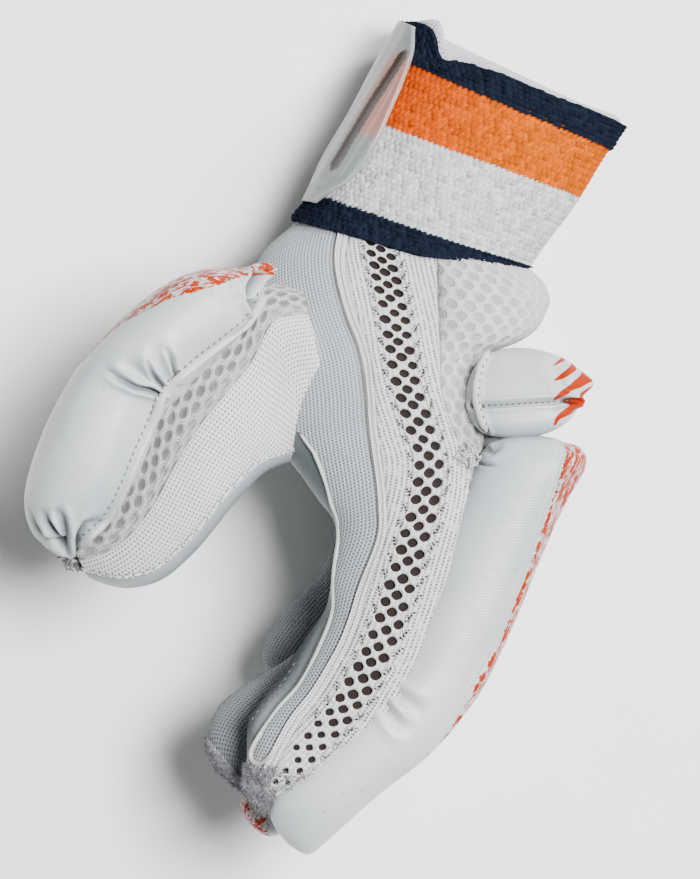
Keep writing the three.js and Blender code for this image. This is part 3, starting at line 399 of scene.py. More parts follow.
def mesh_object(name, points, faces, uvs, tint=None):
    """points in millimetres; uvs one pair for each face corner, in millimetres."""
    me = bpy.data.meshes.new(name)
    me.from_pydata((np.asarray(points) / 1000).tolist(), [], [list(f) for f in faces])
    me.uv_layers.new(name="cloth").data.foreach_set("uv", np.asarray(uvs, float).ravel())
    if tint is not None:
        colour_points(me, tint)
    me.polygons.foreach_set("use_smooth", [True] * len(me.polygons))
    me.update()
    obj = bpy.data.objects.new(name, me)
    scene.collection.objects.link(obj)
    return obj


def blank_uv(faces):
    return np.zeros((sum(len(f) for f in faces), 2))


def grid_faces(n, m, wrap, start=0, flip=False):
    """Quads over a grid of points, and the row and column of each corner."""
    i, j = np.meshgrid(np.arange(n - 1), np.arange(m if wrap else m - 1), indexing="ij")
    i, j = i.ravel(), j.ravel()
    k = (j + 1) % m
    quad = np.stack([i * m + j, (i + 1) * m + j, (i + 1) * m + k, i * m + k], 1) + start
    corner = np.stack([np.stack(ij, 1) for ij in ((i, j), (i + 1, j), (i + 1, j + 1), (i, j + 1))], 1)
    return (quad[:, ::-1], corner[:, ::-1]) if flip else (quad, corner)


def grid_uv(corner, u, v):
    """u and v as arrays over the grid, with one more column where it wraps."""
    u, v = np.broadcast_arrays(u, v)
    return np.stack([w[corner[..., 0], corner[..., 1]] for w in (u, v)], -1).reshape(-1, 2)


def coords(me, kind="co"):
    """Places in millimetres, or unit normals, of a mesh's points."""
    values = np.empty(len(me.vertices) * 3)
    me.vertices.foreach_get(kind, values)
    return values.reshape(-1, 3) * (1000 if kind == "co" else 1)


def set_coords(me, co):
    me.vertices.foreach_set("co", (np.asarray(co) / 1000).ravel())
    me.update()


def triangles(me):
    me.calc_loop_triangles()
    tri = np.empty(len(me.loop_triangles) * 3, int)
    me.loop_triangles.foreach_get("vertices", tri)
    co = coords(me)
    return [co[tri.reshape(-1, 3)[:, k]] for k in range(3)]


def face_out(obj):
    """Turns the faces of a closed form outwards."""
    a, b, c = triangles(obj.data)
    if np.einsum("ij,ij->i", a, np.cross(b, c)).sum() < 0:
        obj.data.flip_normals()
    return obj


def put(obj, nodes, materials=()):
    """Hands a finished piece to the frame, with the nodes that it stands for."""
    for material in materials:
        obj.data.materials.append(material)
    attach(obj, "root")
    if nodes:
        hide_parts(*nodes)
    pieces[obj.name] = obj
    return obj


def ring_form(name, rings, u, step, material):
    """A closed form from rings of points, with flat ends."""
    n, m = rings.shape[:2]
    q, corner = grid_faces(n, m, True)
    uv = grid_uv(corner, u[:, None], np.arange(m + 1) * step)
    faces = [tuple(f) for f in q] + [tuple(range(m))[::-1], tuple((n - 1) * m + i for i in range(m))]
    obj = face_out(mesh_object(name, rings.reshape(-1, 3), faces, np.concatenate([uv, np.zeros((2 * m, 2))])))
    return put(obj, (), [material])


# Materials: node maths with ordinary operators
class Val:
    """A number in a material's nodes."""

    def __init__(self, tree, socket):
        self.tree, self.socket = tree, socket

    def op(self, kind, *others):
        node = self.tree.nodes.new("ShaderNodeMath")
        node.operation = kind
        for k, other in enumerate((self,) + others):
            if isinstance(other, Val):
                self.tree.links.new(other.socket, node.inputs[k])
            else:
                node.inputs[k].default_value = float(other)
        return Val(self.tree, node.outputs[0])

    def flip(self):
        return self.op("MULTIPLY_ADD", -1, 1)

    def step(self, low, high):
        node = self.tree.nodes.new("ShaderNodeMapRange")
        node.interpolation_type = "SMOOTHSTEP"
        self.tree.links.new(self.socket, node.inputs[0])
        node.inputs[1].default_value, node.inputs[2].default_value = low, high
        return Val(self.tree, node.outputs[0])


def node_maths(kind):
    return lambda self, *others: self.op(kind, *others)


NODE_MATHS = dict(
    __add__="ADD", __sub__="SUBTRACT", __mul__="MULTIPLY", __truediv__="DIVIDE", __pow__="POWER",
    sin="SINE", cos="COSINE", abs="ABSOLUTE", fract="FRACT", floor="FLOOR", over="GREATER_THAN",
    max="MAXIMUM", min="MINIMUM")
for word, kind in NODE_MATHS.items():
    setattr(Val, word, node_maths(kind))


def deepen(colour):
    """Sets the strength of all cloth colours under this light."""
    return tuple(0.70 * c ** 1.45 for c in colour)


def darker(colour, share):
    return tuple(c * share for c in colour)


class Look:
    """A material with its cloth coordinates in millimetres: u along, v across."""

    def __init__(self, name, colour, rough, **values):
        self.m = bpy.data.materials.new(name)
        self.m.use_nodes = True
        self.t = self.m.node_tree
        self.p = self.t.nodes["Principled BSDF"]
        self.p.inputs["Base Color"].default_value = (*colour, 1)
        self.p.inputs["Roughness"].default_value = rough
        for key, value in values.items():
            self.p.inputs[key.replace("_", " ")].default_value = value
        uv = self.node("UVMap")
        uv.uv_map = "cloth"
        self.uv = uv.outputs[0]
        split = self.node("SeparateXYZ", self.uv)
        self.u, self.v = self.val(split, 0), self.val(split, 1)
        self.where = self.node("TexCoord").outputs["Object"]

    def node(self, kind, source=None, **values):
        """A new node, its first vector or colour input and its values."""
        node = self.t.nodes.new("ShaderNode" + kind)
        if source is not None:
            self.t.links.new(source, node.inputs[0])
        for key, value in values.items():
            node.inputs[key].default_value = value
        return node

    def val(self, node, key):
        return Val(self.t, node.outputs[key])

    def source(self, uv, stretch):
        source = self.uv if uv else self.where
        return self.node("Mapping", source, Scale=stretch).outputs[0] if stretch else source

    def noise(self, scale, detail=3.0, rough=0.55, uv=False, stretch=None):
        values = dict(Scale=scale, Detail=detail, Roughness=rough)
        return self.val(self.node("TexNoise", self.source(uv, stretch), **values), "Fac")

    def cells(self, scale, uv=False, stretch=None):
        """The distance in a field of cells, and a chance value for each cell."""
        node = self.node("TexVoronoi", self.source(uv, stretch), Scale=scale)
        return self.val(node, "Distance"), self.val(self.node("SeparateColor", node.outputs["Color"]), 0)

    def mix(self, share, one, two):
        node = self.t.nodes.new("ShaderNodeMix")
        node.data_type = "RGBA"
        self.t.links.new(share.socket, node.inputs["Factor"])
        for key, value in ((6, one), (7, two)):
            if isinstance(value, tuple):
                node.inputs[key].default_value = (*deepen(value), 1)
            else:
                self.t.links.new(value, node.inputs[key])
        return node.outputs[2]

    def set(self, key, socket):
        self.t.links.new(socket, self.p.inputs[key])

    def bump(self, height, distance, strength=1.0):
        """distance in millimetres."""
        node = self.node("Bump", Strength=strength, Distance=distance / 1000)
        self.t.links.new(height.socket, node.inputs["Height"])
        self.set("Normal", node.outputs[0])

    def tint(self):
        node = self.node("VertexColor")
        node.layer_name = "tint"
        return node.outputs[0]

    def masks(self):
        """The three painted masks of a piece."""
        split = self.node("SeparateColor", self.tint())
        return [self.val(split, k) for k in range(3)]


def soft_leather(name, print_of=None, light=(0.79, 0.81, 0.82), shade=(0.63, 0.675, 0.705)):
    """Smooth coated leather: faint cross lines, fine pores, small dirt specks, and painted shade in the
    creases of printed pads.
    """
    look = Look(name, light, 0.40, Specular_IOR_Level=0.5)
    base = look.mix(look.noise(14, 3).step(0.32, 0.68), shade, light)
    specks = look.cells(310)[0].step(0.14, 0.08) * look.noise(45, 2).step(0.54, 0.64)
    base = look.mix(specks * 0.6, base, (0.25, 0.25, 0.26))
    if print_of:
        on, fold, _ = look.masks()
        inked, ink = print_of(look, on)
        base = look.mix(inked, base, ink)
        look.set("Specular IOR Level", (inked.flip() * 0.42 + 0.08).socket)
        # Painted shade in the pads' creases, from the second mask
        base = look.mix(fold * 0.95, base, (0.11, 0.115, 0.12))
    look.set("Base Color", base)
    lines = (look.u * TWO_PI + look.noise(30, 2) * 4).sin()
    look.bump(lines * 0.13 + look.noise(700, 3) * 0.7 + look.noise(2600, 2) * 0.3, 0.2, 0.6)
    look.set("Roughness", (look.noise(160, 3).step(0.15, 0.85) * 0.16 + 0.33).socket)
    return look.m


def flecks(look, on):
    """Loose slanted flecks of print where the mask is on, and their ink."""
    edge, shade = look.cells(0.62, uv=True, stretch=(0.55, 1.15, 1.0))
    ragged = look.noise(1.7, 4, 0.7, uv=True, stretch=(0.6, 1.5, 1))
    thick = look.noise(0.13, 2, 0.5, uv=True).step(0.35, 0.6)
    flake = (edge + ragged * 0.6).step(0.94, 0.89) * (shade + thick * 0.35).over(0.40)
    streaks = look.noise(0.8, 3, 0.65, uv=True, stretch=(0.35, 1.7, 1)).step(0.54, 0.55)
    ink = look.mix(look.noise(0.5, 2, 0.5, uv=True).step(0.42, 0.6), (0.55, 0.075, 0.0), (0.60, 0.145, 0.0))
    return flake.max(streaks) * on.step(0.42, 0.5), ink


def bars(look, on):
    """A few slanted bars of print that taper off, and their ink."""
    lean = look.u * 0.42 + look.v * 0.30 + look.noise(0.12, 1, 0.5, uv=True) * 1.6
    return ((lean * 1.9).sin() + on * 1.7).step(1.16, 1.2), (0.57, 0.085, 0.0)


def stitch_grid(look, column, course, wobble, drift):
    """Across and along from the nearest loop of a knit, in shares of a loop, and the run along."""
    across = look.v / column + wobble
    number = (across + 0.5).floor()
    along = look.u / course + number * 0.5 + drift
    return across - number, along.fract() - 0.5, along


def rib_knit(name, dark, light, column, course, depth=0.45, dots=True, hole=(0.24, 0.27)):
    """Knit with ribs along u: loops with a pinhole painted dark as shade between them, staggered; the raised
    ribs and loops are painted lighter.
    """
    look = Look(name, light, 0.92, Sheen_Weight=0.25, Sheen_Roughness=0.5, Specular_IOR_Level=0.2)
    dx, dy, along = stitch_grid(look, column, course, look.noise(90, 2) * 0.35, look.noise(70, 2) * 0.5)
    rib = dx.abs() * 2
    loop = (along * TWO_PI).cos() * 0.5 + 0.5
    pin = (((dx / hole[0]) ** 2.0 + (dy / hole[1]) ** 2.0) ** 0.5).step(1.25, 0.55)
    # Painted highlight on the raised ribs and loops and painted shade between them, with fibre noise
    painted_relief_light = (rib * 0.5 + loop * 0.4 + look.noise(900, 2) * 0.5).step(0.25, 0.85)
    base = look.mix(painted_relief_light, darker(light, 0.80), light)
    # The pinholes are painted dark: painted shade in them
    if dots:
        base = look.mix(pin * 0.92, base, dark)
    base = look.mix(look.noise(22, 3).step(0.4, 0.75) * 0.35, base, darker(light, 0.66))
    look.set("Base Color", base)
    look.bump(rib ** 0.7 * 0.5 + loop * 0.35 + look.noise(1500, 2) * 0.5 - pin * 0.9, depth, 0.9)
    return look.m


def plain(name, colour, rough=0.9, grain=900, depth=0.3, shade=0.75, **values):
    """Even cloth or thread with a fine grain."""
    look = Look(name, colour, rough, **values)
    look.set("Base Color", look.mix(look.noise(grain / 6, 3).step(0.3, 0.7), darker(colour, shade), colour))
    look.bump(look.noise(grain, 4), depth)
    return look.m


def tinted_knit(name):
    """The cuff's yarn: its colours, with painted shade between the stitches, are set stitch by stitch."""
    look = Look(name, (0.5, 0.5, 0.5), 0.95, Specular_IOR_Level=0.02)
    fibre = look.noise(1500, 4, 0.7)
    dark = look.node("HueSaturation", Value=0.60)
    look.t.links.new(look.tint(), dark.inputs["Color"])
    look.set("Base Color", look.mix(fibre.step(0.34, 0.60), dark.outputs[0], look.tint()))
    look.bump(fibre + look.noise(4200, 2) * 0.5, 0.35, 0.8)
    return look.m


def net_cloth(name):
    """Knit of the net: ribs at its sides dotted with pinholes painted dark as shade, loose threads between
    its holes.
    """
    light, dark = (0.93, 0.925, 0.94), (0.20, 0.18, 0.21)
    look = Look(name, light, 0.92, Sheen_Weight=0.3, Sheen_Roughness=0.5, Specular_IOR_Level=0.2)
    zone, open_part, _ = look.masks()
    dx, dy, _ = stitch_grid(look, 1.75, 1.15, look.noise(80, 2) * 0.5, look.noise(60, 2) * 0.6)
    pin = ((dx / 0.24) ** 2.0 + (dy / 0.28) ** 2.0).step(1.6, 0.4) * look.noise(400, 2).step(0.36, 0.52)
    pin = pin * open_part.flip()
    fuzz = look.noise(2.0, 4, 0.7, uv=True)
    # Grey where the fuzz and the ribs sink: painted shade on the relief, with uneven fibre tone
    base = look.mix((fuzz + dx.abs() * 0.5).step(0.3, 0.75), (0.56, 0.55, 0.575), light)
    # Pinholes painted dark: painted shade in them
    base = look.mix(pin * 0.8, base, dark)
    # Dark specks, sunk into the clusters of tiny holes: painted shade in them
    specks = look.noise(1.35, 3, 0.6, uv=True).step(0.50, 0.55)
    look.set("Base Color", look.mix(zone.step(0.15, 0.5) * specks * 0.85, base, (0.10, 0.085, 0.09)))
    look.bump(dx.abs() * 0.6 + fuzz * 0.9 - pin * 0.8 - zone * specks * 0.8, 0.5, 0.9)
    return look.m


# Pitch and size of the mesh's cells, along and across the cloth, in millimetres
CELL_PITCH = (9.8, 5.1)
CELL_SIZE = (4.7, 3.3)


def spacer_mesh(name, strong, light, mid, least, shown_from, shown_to):
    """Wavy threads in a honeycomb round darker oval cells, which fade out across the cloth."""
    look = Look(name, light, 0.9, Sheen_Weight=0.2, Specular_IOR_Level=0.2)
    bend = (look.noise(1.1, 2, 0.5, uv=True) - 0.5) * 0.16
    fields = []
    for k in (0.0, 0.5):
        x = ((look.u / CELL_PITCH[0] + bend + k).fract() - 0.5) * (2 * CELL_PITCH[0] / CELL_SIZE[0])
        y = ((look.v / CELL_PITCH[1] + k + bend).fract() - 0.5) * (2 * CELL_PITCH[1] / CELL_SIZE[1])
        fields.append((x * x + y * y) ** 0.5)
    far = fields[0].min(fields[1])
    shown = (look.v * -1).step(shown_from, shown_to)
    fuzz = look.noise(2.4, 3, 0.65, uv=True)
    inside = (far + fuzz * 0.4).step(1.32, 0.82)
    mesh = (look.u * 6.2 + look.v * 4.4).sin() * (look.u * -5.1 + look.v * 5.6).sin()
    strands = (far * 17.0 + look.noise(1.3, 3, 0.6, uv=True) * 5).sin() * 0.5 + 0.5
    base = look.mix((strands * 0.75 + fuzz * 0.5).step(0.25, 0.95), mid, light)
    cell = look.mix((mesh * 0.5 + fuzz * 0.6).step(0.12, 0.42) * 0.9, strong, mid)
    patchy = look.noise(0.16, 1, 0.5, uv=True).step(0.25, 0.55).op("MULTIPLY_ADD", 1 - least, least)
    look.set("Base Color", look.mix(inside * patchy * shown.op("MULTIPLY_ADD", 0.72, 0.28), base, cell))
    ridge = (look.v * (TWO_PI / 1.5) + fuzz).sin() * shown.flip() * 0.5
    look.bump(far.step(0.70, 1.12) * shown + strands * 0.35 + mesh * 0.14 + fuzz * 0.4 + ridge, 0.6, 0.95)
    return look.m


def strap_plastic(name):
    """Frosted plastic: a groove with a dark speckled line (the hook-and-loop edge under it, with painted
    shadow), a pale rim painted as highlight, and the cuff's orange behind it painted in.
    """
    look = Look(name, (0.80, 0.85, 0.86), 0.34, Transmission_Weight=0.45, IOR=1.35, Specular_IOR_Level=0.6)
    groove, rim, warm = look.masks()
    speck = look.noise(0.95, 4, 0.85, uv=True)
    frost = look.noise(1.1, 4, 0.7, uv=True).step(0.25, 0.75)
    base = look.mix(frost, (0.52, 0.56, 0.57), (0.72, 0.75, 0.755))
    # The cuff's orange seen through the plastic, painted in
    base = look.mix(warm * 0.8, base, (0.92, 0.50, 0.42))
    # Pale rim: painted highlight along the plastic's edges
    base = look.mix(rim * speck.step(0.35, 0.6), base, (0.96, 0.97, 0.97))
    # Dark speckled line along the groove: the hook-and-loop edge under the plastic, with painted shadow of
    # the gap beneath the strap
    dark = (groove * 1.2 - speck * 1.2).step(0.0, 0.3)
    look.set("Base Color", look.mix(dark * 0.95, base, (0.13, 0.095, 0.075)))
    look.bump(look.noise(700, 4), 0.15)
    look.set("Roughness", (frost * 0.15 + 0.30).socket)
    return look.m


PADDING = soft_leather("padding_plain")
PADDING_PRINT = soft_leather("padding_print", flecks)
KNUCKLE_PRINT = soft_leather("knuckle_print", bars)
PIPING = soft_leather("piping_leather", None, (0.80, 0.80, 0.79), (0.68, 0.69, 0.69))
THUMB_LEATHER = soft_leather("palm_leather_pale", None, (0.62, 0.65, 0.66), (0.50, 0.54, 0.56))
CHANNEL_LEATHER = soft_leather("channel_leather", None, (0.55, 0.59, 0.60), (0.40, 0.445, 0.455))
PALM_LEATHER = soft_leather("palm_leather_plain", None, (0.31, 0.345, 0.35), (0.20, 0.235, 0.24))
SIDE_KNIT = rib_knit("side_knit_cloth", (0.26, 0.29, 0.32), (0.63, 0.66, 0.685), 1.35, 1.25)
THUMB_KNIT = rib_knit("thumb_knit_cloth", (0.34, 0.335, 0.34), (0.94, 0.94, 0.93), 1.5, 1.35,
                      hole=(0.17, 0.26))
STALL_KNIT = rib_knit("stall_knit_cloth", (0.13, 0.15, 0.16), (0.40, 0.43, 0.44), 1.35, 1.3, 0.5)
TAPE_KNIT = rib_knit("tape_cloth", (0.58, 0.57, 0.58), (0.95, 0.94, 0.94), 0.9, 1.0, 0.5, dots=False)
LINING_KNIT = rib_knit("lining_cloth", (0.55, 0.55, 0.62), (0.85, 0.85, 0.90), 0.8, 0.9, 0.3, dots=False)
NET_KNIT = net_cloth("net_cloth")
CUFF_YARN = tinted_knit("cuff_yarn")
STRAP_PLASTIC = strap_plastic("strap_plastic")
BACK_MESH = spacer_mesh(
    "back_mesh_cloth", (0.46, 0.445, 0.445), (0.95, 0.94, 0.935), (0.79, 0.775, 0.77), 0.5, -32, -20)
THUMB_MESH = spacer_mesh(
    "thumb_mesh_cloth", (0.12, 0.115, 0.12), (0.90, 0.89, 0.895), (0.50, 0.49, 0.50), 0.8, 1.5, 6.0)
THREAD_WHITE = plain("thread_white", (0.78, 0.77, 0.76), 0.8, 1500, 0.2)
THREAD = plain("thread", (0.30, 0.29, 0.30), 0.7, 1500, 0.1)
THREAD_PALE = plain("thread_pale", (0.62, 0.63, 0.65), 0.7, 1500, 0.1)
TOWELLING = plain("towelling_cloth", (0.58, 0.58, 0.61), 1.0, 1100, 0.9, 0.6, Sheen_Weight=0.2)
INNER = plain("inner_cloth", (0.16, 0.13, 0.12), 0.95, 800, 0.3)
NET_LINING = plain("inner_lining_cloth", (0.065, 0.034, 0.028), 0.95, 700, 0.4)
FLOOR_PAPER = plain("floor_paper", (1.22, 1.22, 1.22), 0.9, 300, 0.05, 0.99)


# Panels: a place across a panel is given by its two edges, each a function from a skin to laps
def at_lap(value):
    return lambda skin: np.full(len(skin.rows), float(value))


def at_share(column):
    return lambda skin: lap_at(skin.sec["at"][:, 0, column])


def at_shares(rows, shares):
    return lambda skin: lap_at(np.interp(skin.rows, rows, shares))


def rows_of(sec, pick):
    return {k: (w if k in ("power", "at") else w[pick]) for k, w in sec.items()}


def panel(name, form, first, last, lap0, lap1, step=(1.0, 1.0), rise=0.0, thick=CLOTH, relief=None,
          spine=1.0, every=5, from_end=False, inner=1):
    """A cloth panel with folded edges and a coarse inner face."""
    rows, s = even_rows(form, first, last, step[0], spine)
    skin = Skin(form, rows)
    d0, d1 = skin.dist(lap0(skin)), skin.dist(lap1(skin))
    n, m = len(rows), max(int((d1 - d0).max() / step[1]), 3) + 1
    t = np.linspace(0, 1, m)
    dist = d0[:, None] + (d1 - d0)[:, None] * t
    laps = skin.lap(dist)
    u = np.broadcast_to(s[:, None], dist.shape)
    v = dist - (d1 if from_end else d0)[:, None]
    out = np.full(dist.shape, float(rise))
    if relief:
        out = out + relief(u, v, np.broadcast_to(t, dist.shape), rows[:, None], laps)

    def sheet(i, j, heights, start, flip):
        pick = np.ix_(i, j)
        p = point(rows_of(skin.sec, i), laps[pick], heights)
        quads, corner = grid_faces(len(i), len(j), False, start, flip)
        return p.reshape(-1, 3), quads, grid_uv(corner, u[pick], v[pick])

    # The outer face has one more ring of points, which turns its edges in
    i, j = np.clip(np.arange(-1, n + 1), 0, n - 1), np.clip(np.arange(-1, m + 1), 0, m - 1)
    heights = out[np.ix_(i, j)].copy()
    heights[0], heights[-1], heights[:, 0], heights[:, -1] = (rise - thick,) * 4
    outer, quads, uv = sheet(i, j, heights, 0, False)
    i = np.unique(np.append(np.arange(0, n, every), n - 1))
    j = np.unique(np.append(np.arange(0, m, max(every, 2)), m - 1))
    back, back_quads, back_uv = sheet(i, j, rise - thick, len(outer), True)
    obj = mesh_object(name, np.concatenate([outer, back]), np.concatenate([quads, back_quads]),
                      np.concatenate([uv, back_uv]))
    me = obj.data
    me.polygons.foreach_set("material_index", [0] * len(quads) + [inner] * len(back_quads))
    mid = slice(n // 2, n // 2 + 1), slice(m // 2, m // 2 + 1)
    low, high = (point(rows_of(skin.sec, mid[0]), laps[mid], out)[0, 0] for out in (0.0, 1.0))
    if Vector(high - low).dot(me.polygons[(n // 2) * (m + 1) + m // 2].normal) < 0:
        me.flip_normals()
    return obj


# Cuff: real stitches, with their own colours and painted shade between them
CUFF_LAST = len(CUFF_ROWS) - 1
CUFF_ROW = 12.0
CUFF_LENGTH = 70
RIM, BEFORE_RIM = (square(r[0], r[1]) + square(r[2], r[3]) for r in (CUFF_ROWS[-1], CUFF_ROWS[-2]))
CUFF_WAY = np.append(normed(RIM - BEFORE_RIM), 0.0)
STITCH_WIDTH = 4.3
POINTS_A_COLUMN, POINTS_A_COURSE = 4, 5
# Courses of each stripe from the hand up: navy, grey, orange, navy
STRIPE_ENDS = np.cumsum([6, 14, 9, 6])
NAVY, GREY = (0.0085, 0.0125, 0.0235), (0.57, 0.575, 0.585)
ORANGE_PALM, ORANGE_BACK = np.array([0.56, 0.052, 0.0]), np.array([0.58, 0.105, 0.0])
# The lining's rim: height over the cuff's rim and depth under its face
LINING_PROFILE = [(-26, -4.0), (-14, -4.0), (-3, -4.1), (0.6, -4.2), (1.7, -3.9), (2.2, -3.2), (1.9, -2.5),
                  (0.9, -2.1), (-0.8, -2.2), (-3, -2.5)]
LINING_POINTS = 720


def cuff_point(row, lap, out):
    """Points of the cuff; past its rim it goes straight on, before its first row it lies on the hand."""
    row, lap = np.broadcast_arrays(np.asarray(row, float), lap)
    p = point(cuff(np.clip(row, 0, CUFF_LAST)), lap, out)
    p = p + np.maximum(row - CUFF_LAST, 0)[..., None] * CUFF_ROW * CUFF_WAY
    low = point(hand(np.maximum(-row, 0) * 0.9), lap, out)
    return np.where((row < 0)[..., None], low, p)


def rim_dip(lap):
    share = (1 - np.cos(np.clip(lap, 0, 2) * QUARTER)) / 2
    return np.where(lap > 2, 0, read(RIM_ROWS, share * (len(RIM_ROWS) - 1))[..., 0])


def across_share(lap):
    """The share of the way from the palm edge to the back edge."""
    t = np.mod(lap, LAPS)
    share = (1 - curve(np.cos(np.where(t <= 2, t, t - 1) * QUARTER), 2 / CLOTH_POWER)) / 2
    return np.where((t > 2) & (t < 3), 1, np.where(t > 5, 0, share))


def is_navy(course):
    return (course < STRIPE_ENDS[0]) | (course >= STRIPE_ENDS[2])


def stitch_field(r, c, columns):
    """At each course and column place: the height of its stitch, the stitch's course and chance value."""
    courses = int(STRIPE_ENDS[-1])
    chance = rng.random((courses + 3, columns + 2))
    shape = (len(r), c.shape[1])
    best, own_course, own_chance = np.full(shape, -1.0), np.zeros(shape), np.zeros(shape)
    for back in (-1, 0, 1):
        course = np.clip(np.floor(r) + back, 0, courses - 1) + np.zeros((1, shape[1]))
        shift = 0.5 * np.mod(course, 2)
        navy = is_navy(course)
        for sideways in (-1, 0, 1):
            column = np.floor(c + shift) + sideways
            jit = chance[course.astype(int) + 1, column.astype(int) % (columns + 2)]
            y = r - course - 0.5 + (jit - 0.5) * np.where(navy, 0.22, 0.12)
            x = c + shift - column - 0.5 + (jit - 0.5) * np.where(navy, 0.3, 0.1)
            lean = np.where(navy, 0.15, 0.45) * y * np.where(np.mod(course, 2) > 0, 1, -0.6)
            size = np.where(navy, 0.9 + 0.35 * jit, 0.92 + 0.14 * jit)
            dome = 1 - ((x + lean) / (0.56 * size)) ** 2 - (y / (0.68 * size)) ** 2
            dome = np.sqrt(np.maximum(0, dome)) * size
            near = dome > best
            best = np.where(near, dome, best)
            own_course = np.where(near, course, own_course)
            own_chance = np.where(near, jit, own_chance)
    return np.maximum(best, 0), own_course, own_chance


def stitch_height(stitch, navy, r, c):
    height = stitch * np.where(navy, 1.5, 0.85)
    rough, fine = (rng.random(height.shape) - 0.5 for _ in range(2))
    height = height + np.where(navy, rough * 0.5, fine * 0.08)
    return height + 0.55 * waves(c * 2.1, r * 2, 14) + 0.3 * waves(c * 2.1, r * 2, 5, 2.0)


def stitch_colour(stitch, course, chance, share):
    navy = is_navy(course)
    orange = (course >= STRIPE_ENDS[1]) & ~navy
    warm = unit(share * 1.5)[None, :, None]
    tint = np.where(orange[..., None], ORANGE_PALM * (1 - warm) + ORANGE_BACK * warm, GREY)
    tint = np.where(navy[..., None], NAVY, tint)
    # A random tone for each stitch, and painted shade where its dome sinks, between the stitches
    return tint * (0.84 + 0.32 * chance[..., None]) * (0.45 + 0.55 * unit(stitch * 1.15)[..., None])


def cuff_course_row(q, edges):
    """The cuff's row of a course, between the edges of its stripe."""
    row = edges[0] + (q - STRIPE_ENDS[0]) * 0.15
    for k in range(3):
        part = (q - STRIPE_ENDS[k]) / (STRIPE_ENDS[k + 1] - STRIPE_ENDS[k])
        row = np.where(q > STRIPE_ENDS[k], edges[k] + (edges[k + 1] - edges[k]) * part, row)
    return row


def build_cuff():
    skin = Skin(cuff, [2.5], -0.05, 6.05, 900)
    girth = skin.dist(6.0)[0] - skin.dist(0.0)[0]
    columns = 2 * int(round(girth / STITCH_WIDTH))
    m, n = columns * POINTS_A_COLUMN, int(STRIPE_ENDS[-1]) * POINTS_A_COURSE
    laps = skin.lap(np.linspace(0, girth, m, endpoint=False)[None, :])[0]
    share = across_share(laps)
    lump = rng.random(columns + 1)[(np.arange(m) // POINTS_A_COLUMN + 1) % columns]
    end = (1 - rim_dip(laps)) * CUFF_LAST + 0.05 * (lump - 0.5)
    edges = [0.85 - 0.75 * share, 2.9 - 0.70 * share, 4.2 - 0.33 * share, end]
    sag = (-0.52 * np.sin(math.pi * unit(share) ** 0.85) ** 0.9)[None, :]
    r = np.arange(n + 1)[:, None] / POINTS_A_COURSE
    c = np.arange(m)[None, :] / POINTS_A_COLUMN
    stitch, course, chance = stitch_field(r, c, columns)
    height = stitch_height(stitch, is_navy(course), r, c)
    row = cuff_course_row(r, edges)
    under = np.clip((sag + 0.02 - row) * 5, 0, 2.6)
    row = np.maximum(row, sag + 0.02)
    low_roll = 1.7 * unit(1.2 - (row - sag) * 1.6) * (1 - share ** 3)
    p = cuff_point(row, laps, height - 0.7 - under + low_roll)
    p = np.concatenate([cuff_point(row[:1], laps, -2.6), p, cuff_point(row[-1:] - 0.02, laps, -CUFF_WALL)])
    tint = stitch_colour(stitch, course, chance, share)
    tint = np.concatenate([tint[:1], tint, tint[-1:]])
    quads, corner = grid_faces(n + 3, m, True)
    u = np.concatenate([r[:1], r, r[-1:]]) * 2
    uv = grid_uv(corner, u, np.append(c, c[0, -1] + 0.25) * 2.15)

    pick = np.arange(0, m, 8)
    levels = np.linspace(0, 1, 9)[:, None]
    inner = cuff_point(0.02 + (end[pick] - 0.04) * levels, laps[pick], -CUFF_WALL)
    inner_quads, corner = grid_faces(9, len(pick), True, start=p.shape[0] * m, flip=True)
    inner_uv = grid_uv(corner, levels * CUFF_LENGTH, np.arange(len(pick) + 1) * 4.0)
    tint = np.concatenate([tint.reshape(-1, 3), np.full((inner.size // 3, 3), 0.05)])
    obj = mesh_object("cuff_knit_tube", np.concatenate([p.reshape(-1, 3), inner.reshape(-1, 3)]),
                      np.concatenate([quads, inner_quads]), np.concatenate([uv, inner_uv]), tint)
    put(face_out(obj), ["cuff_band"], [CUFF_YARN])
    build_lining(skin, girth)


def build_lining(skin, girth):
    laps = skin.lap(np.linspace(0, girth, LINING_POINTS, endpoint=False)[None, :])[0]
    rim = (1 - rim_dip(laps)) * CUFF_LAST
    deep = 0.75 + 0.8 * bell(across_share(laps), 0.14, 0.10) * (laps < 2)
    beat = 0.16 * np.sin(np.arange(LINING_POINTS) * TWO_PI / 4)
    rings = [cuff_point(rim + rise * (deep if rise > -1 else 1) / CUFF_ROW, laps, depth + beat * (rise > -1))
             for rise, depth in LINING_PROFILE]
    quads, corner = grid_faces(len(rings), LINING_POINTS, True)
    rises = np.array([rise for rise, _ in LINING_PROFILE])
    uv = grid_uv(corner, rises[:, None], np.arange(LINING_POINTS + 1) * girth / LINING_POINTS)
    obj = mesh_object("cuff_lining_rim", np.stack(rings).reshape(-1, 3), quads, uv)
    put(face_out(obj), ["cuff_lining"], [LINING_KNIT])


# Strap: lines in the photo's pixels
STRAP_OUTER_EDGE = [(409, 12), (404, 17), (359, 95), (312, 174)]
STRAP_INNER_EDGE = [(417, 25), (424, 40), (414, 64), (384, 122), (375, 138), (347, 180), (325, 193),
                    (314, 198)]
STRAP_GROOVE = [(413, 38), (370, 104), (325, 179)]
STRAP_WARM = [(398, 68), (372, 118)]
STRAP_FROM, STRAP_SPAN = 0.12, 0.87
STRAP_TOP = 20


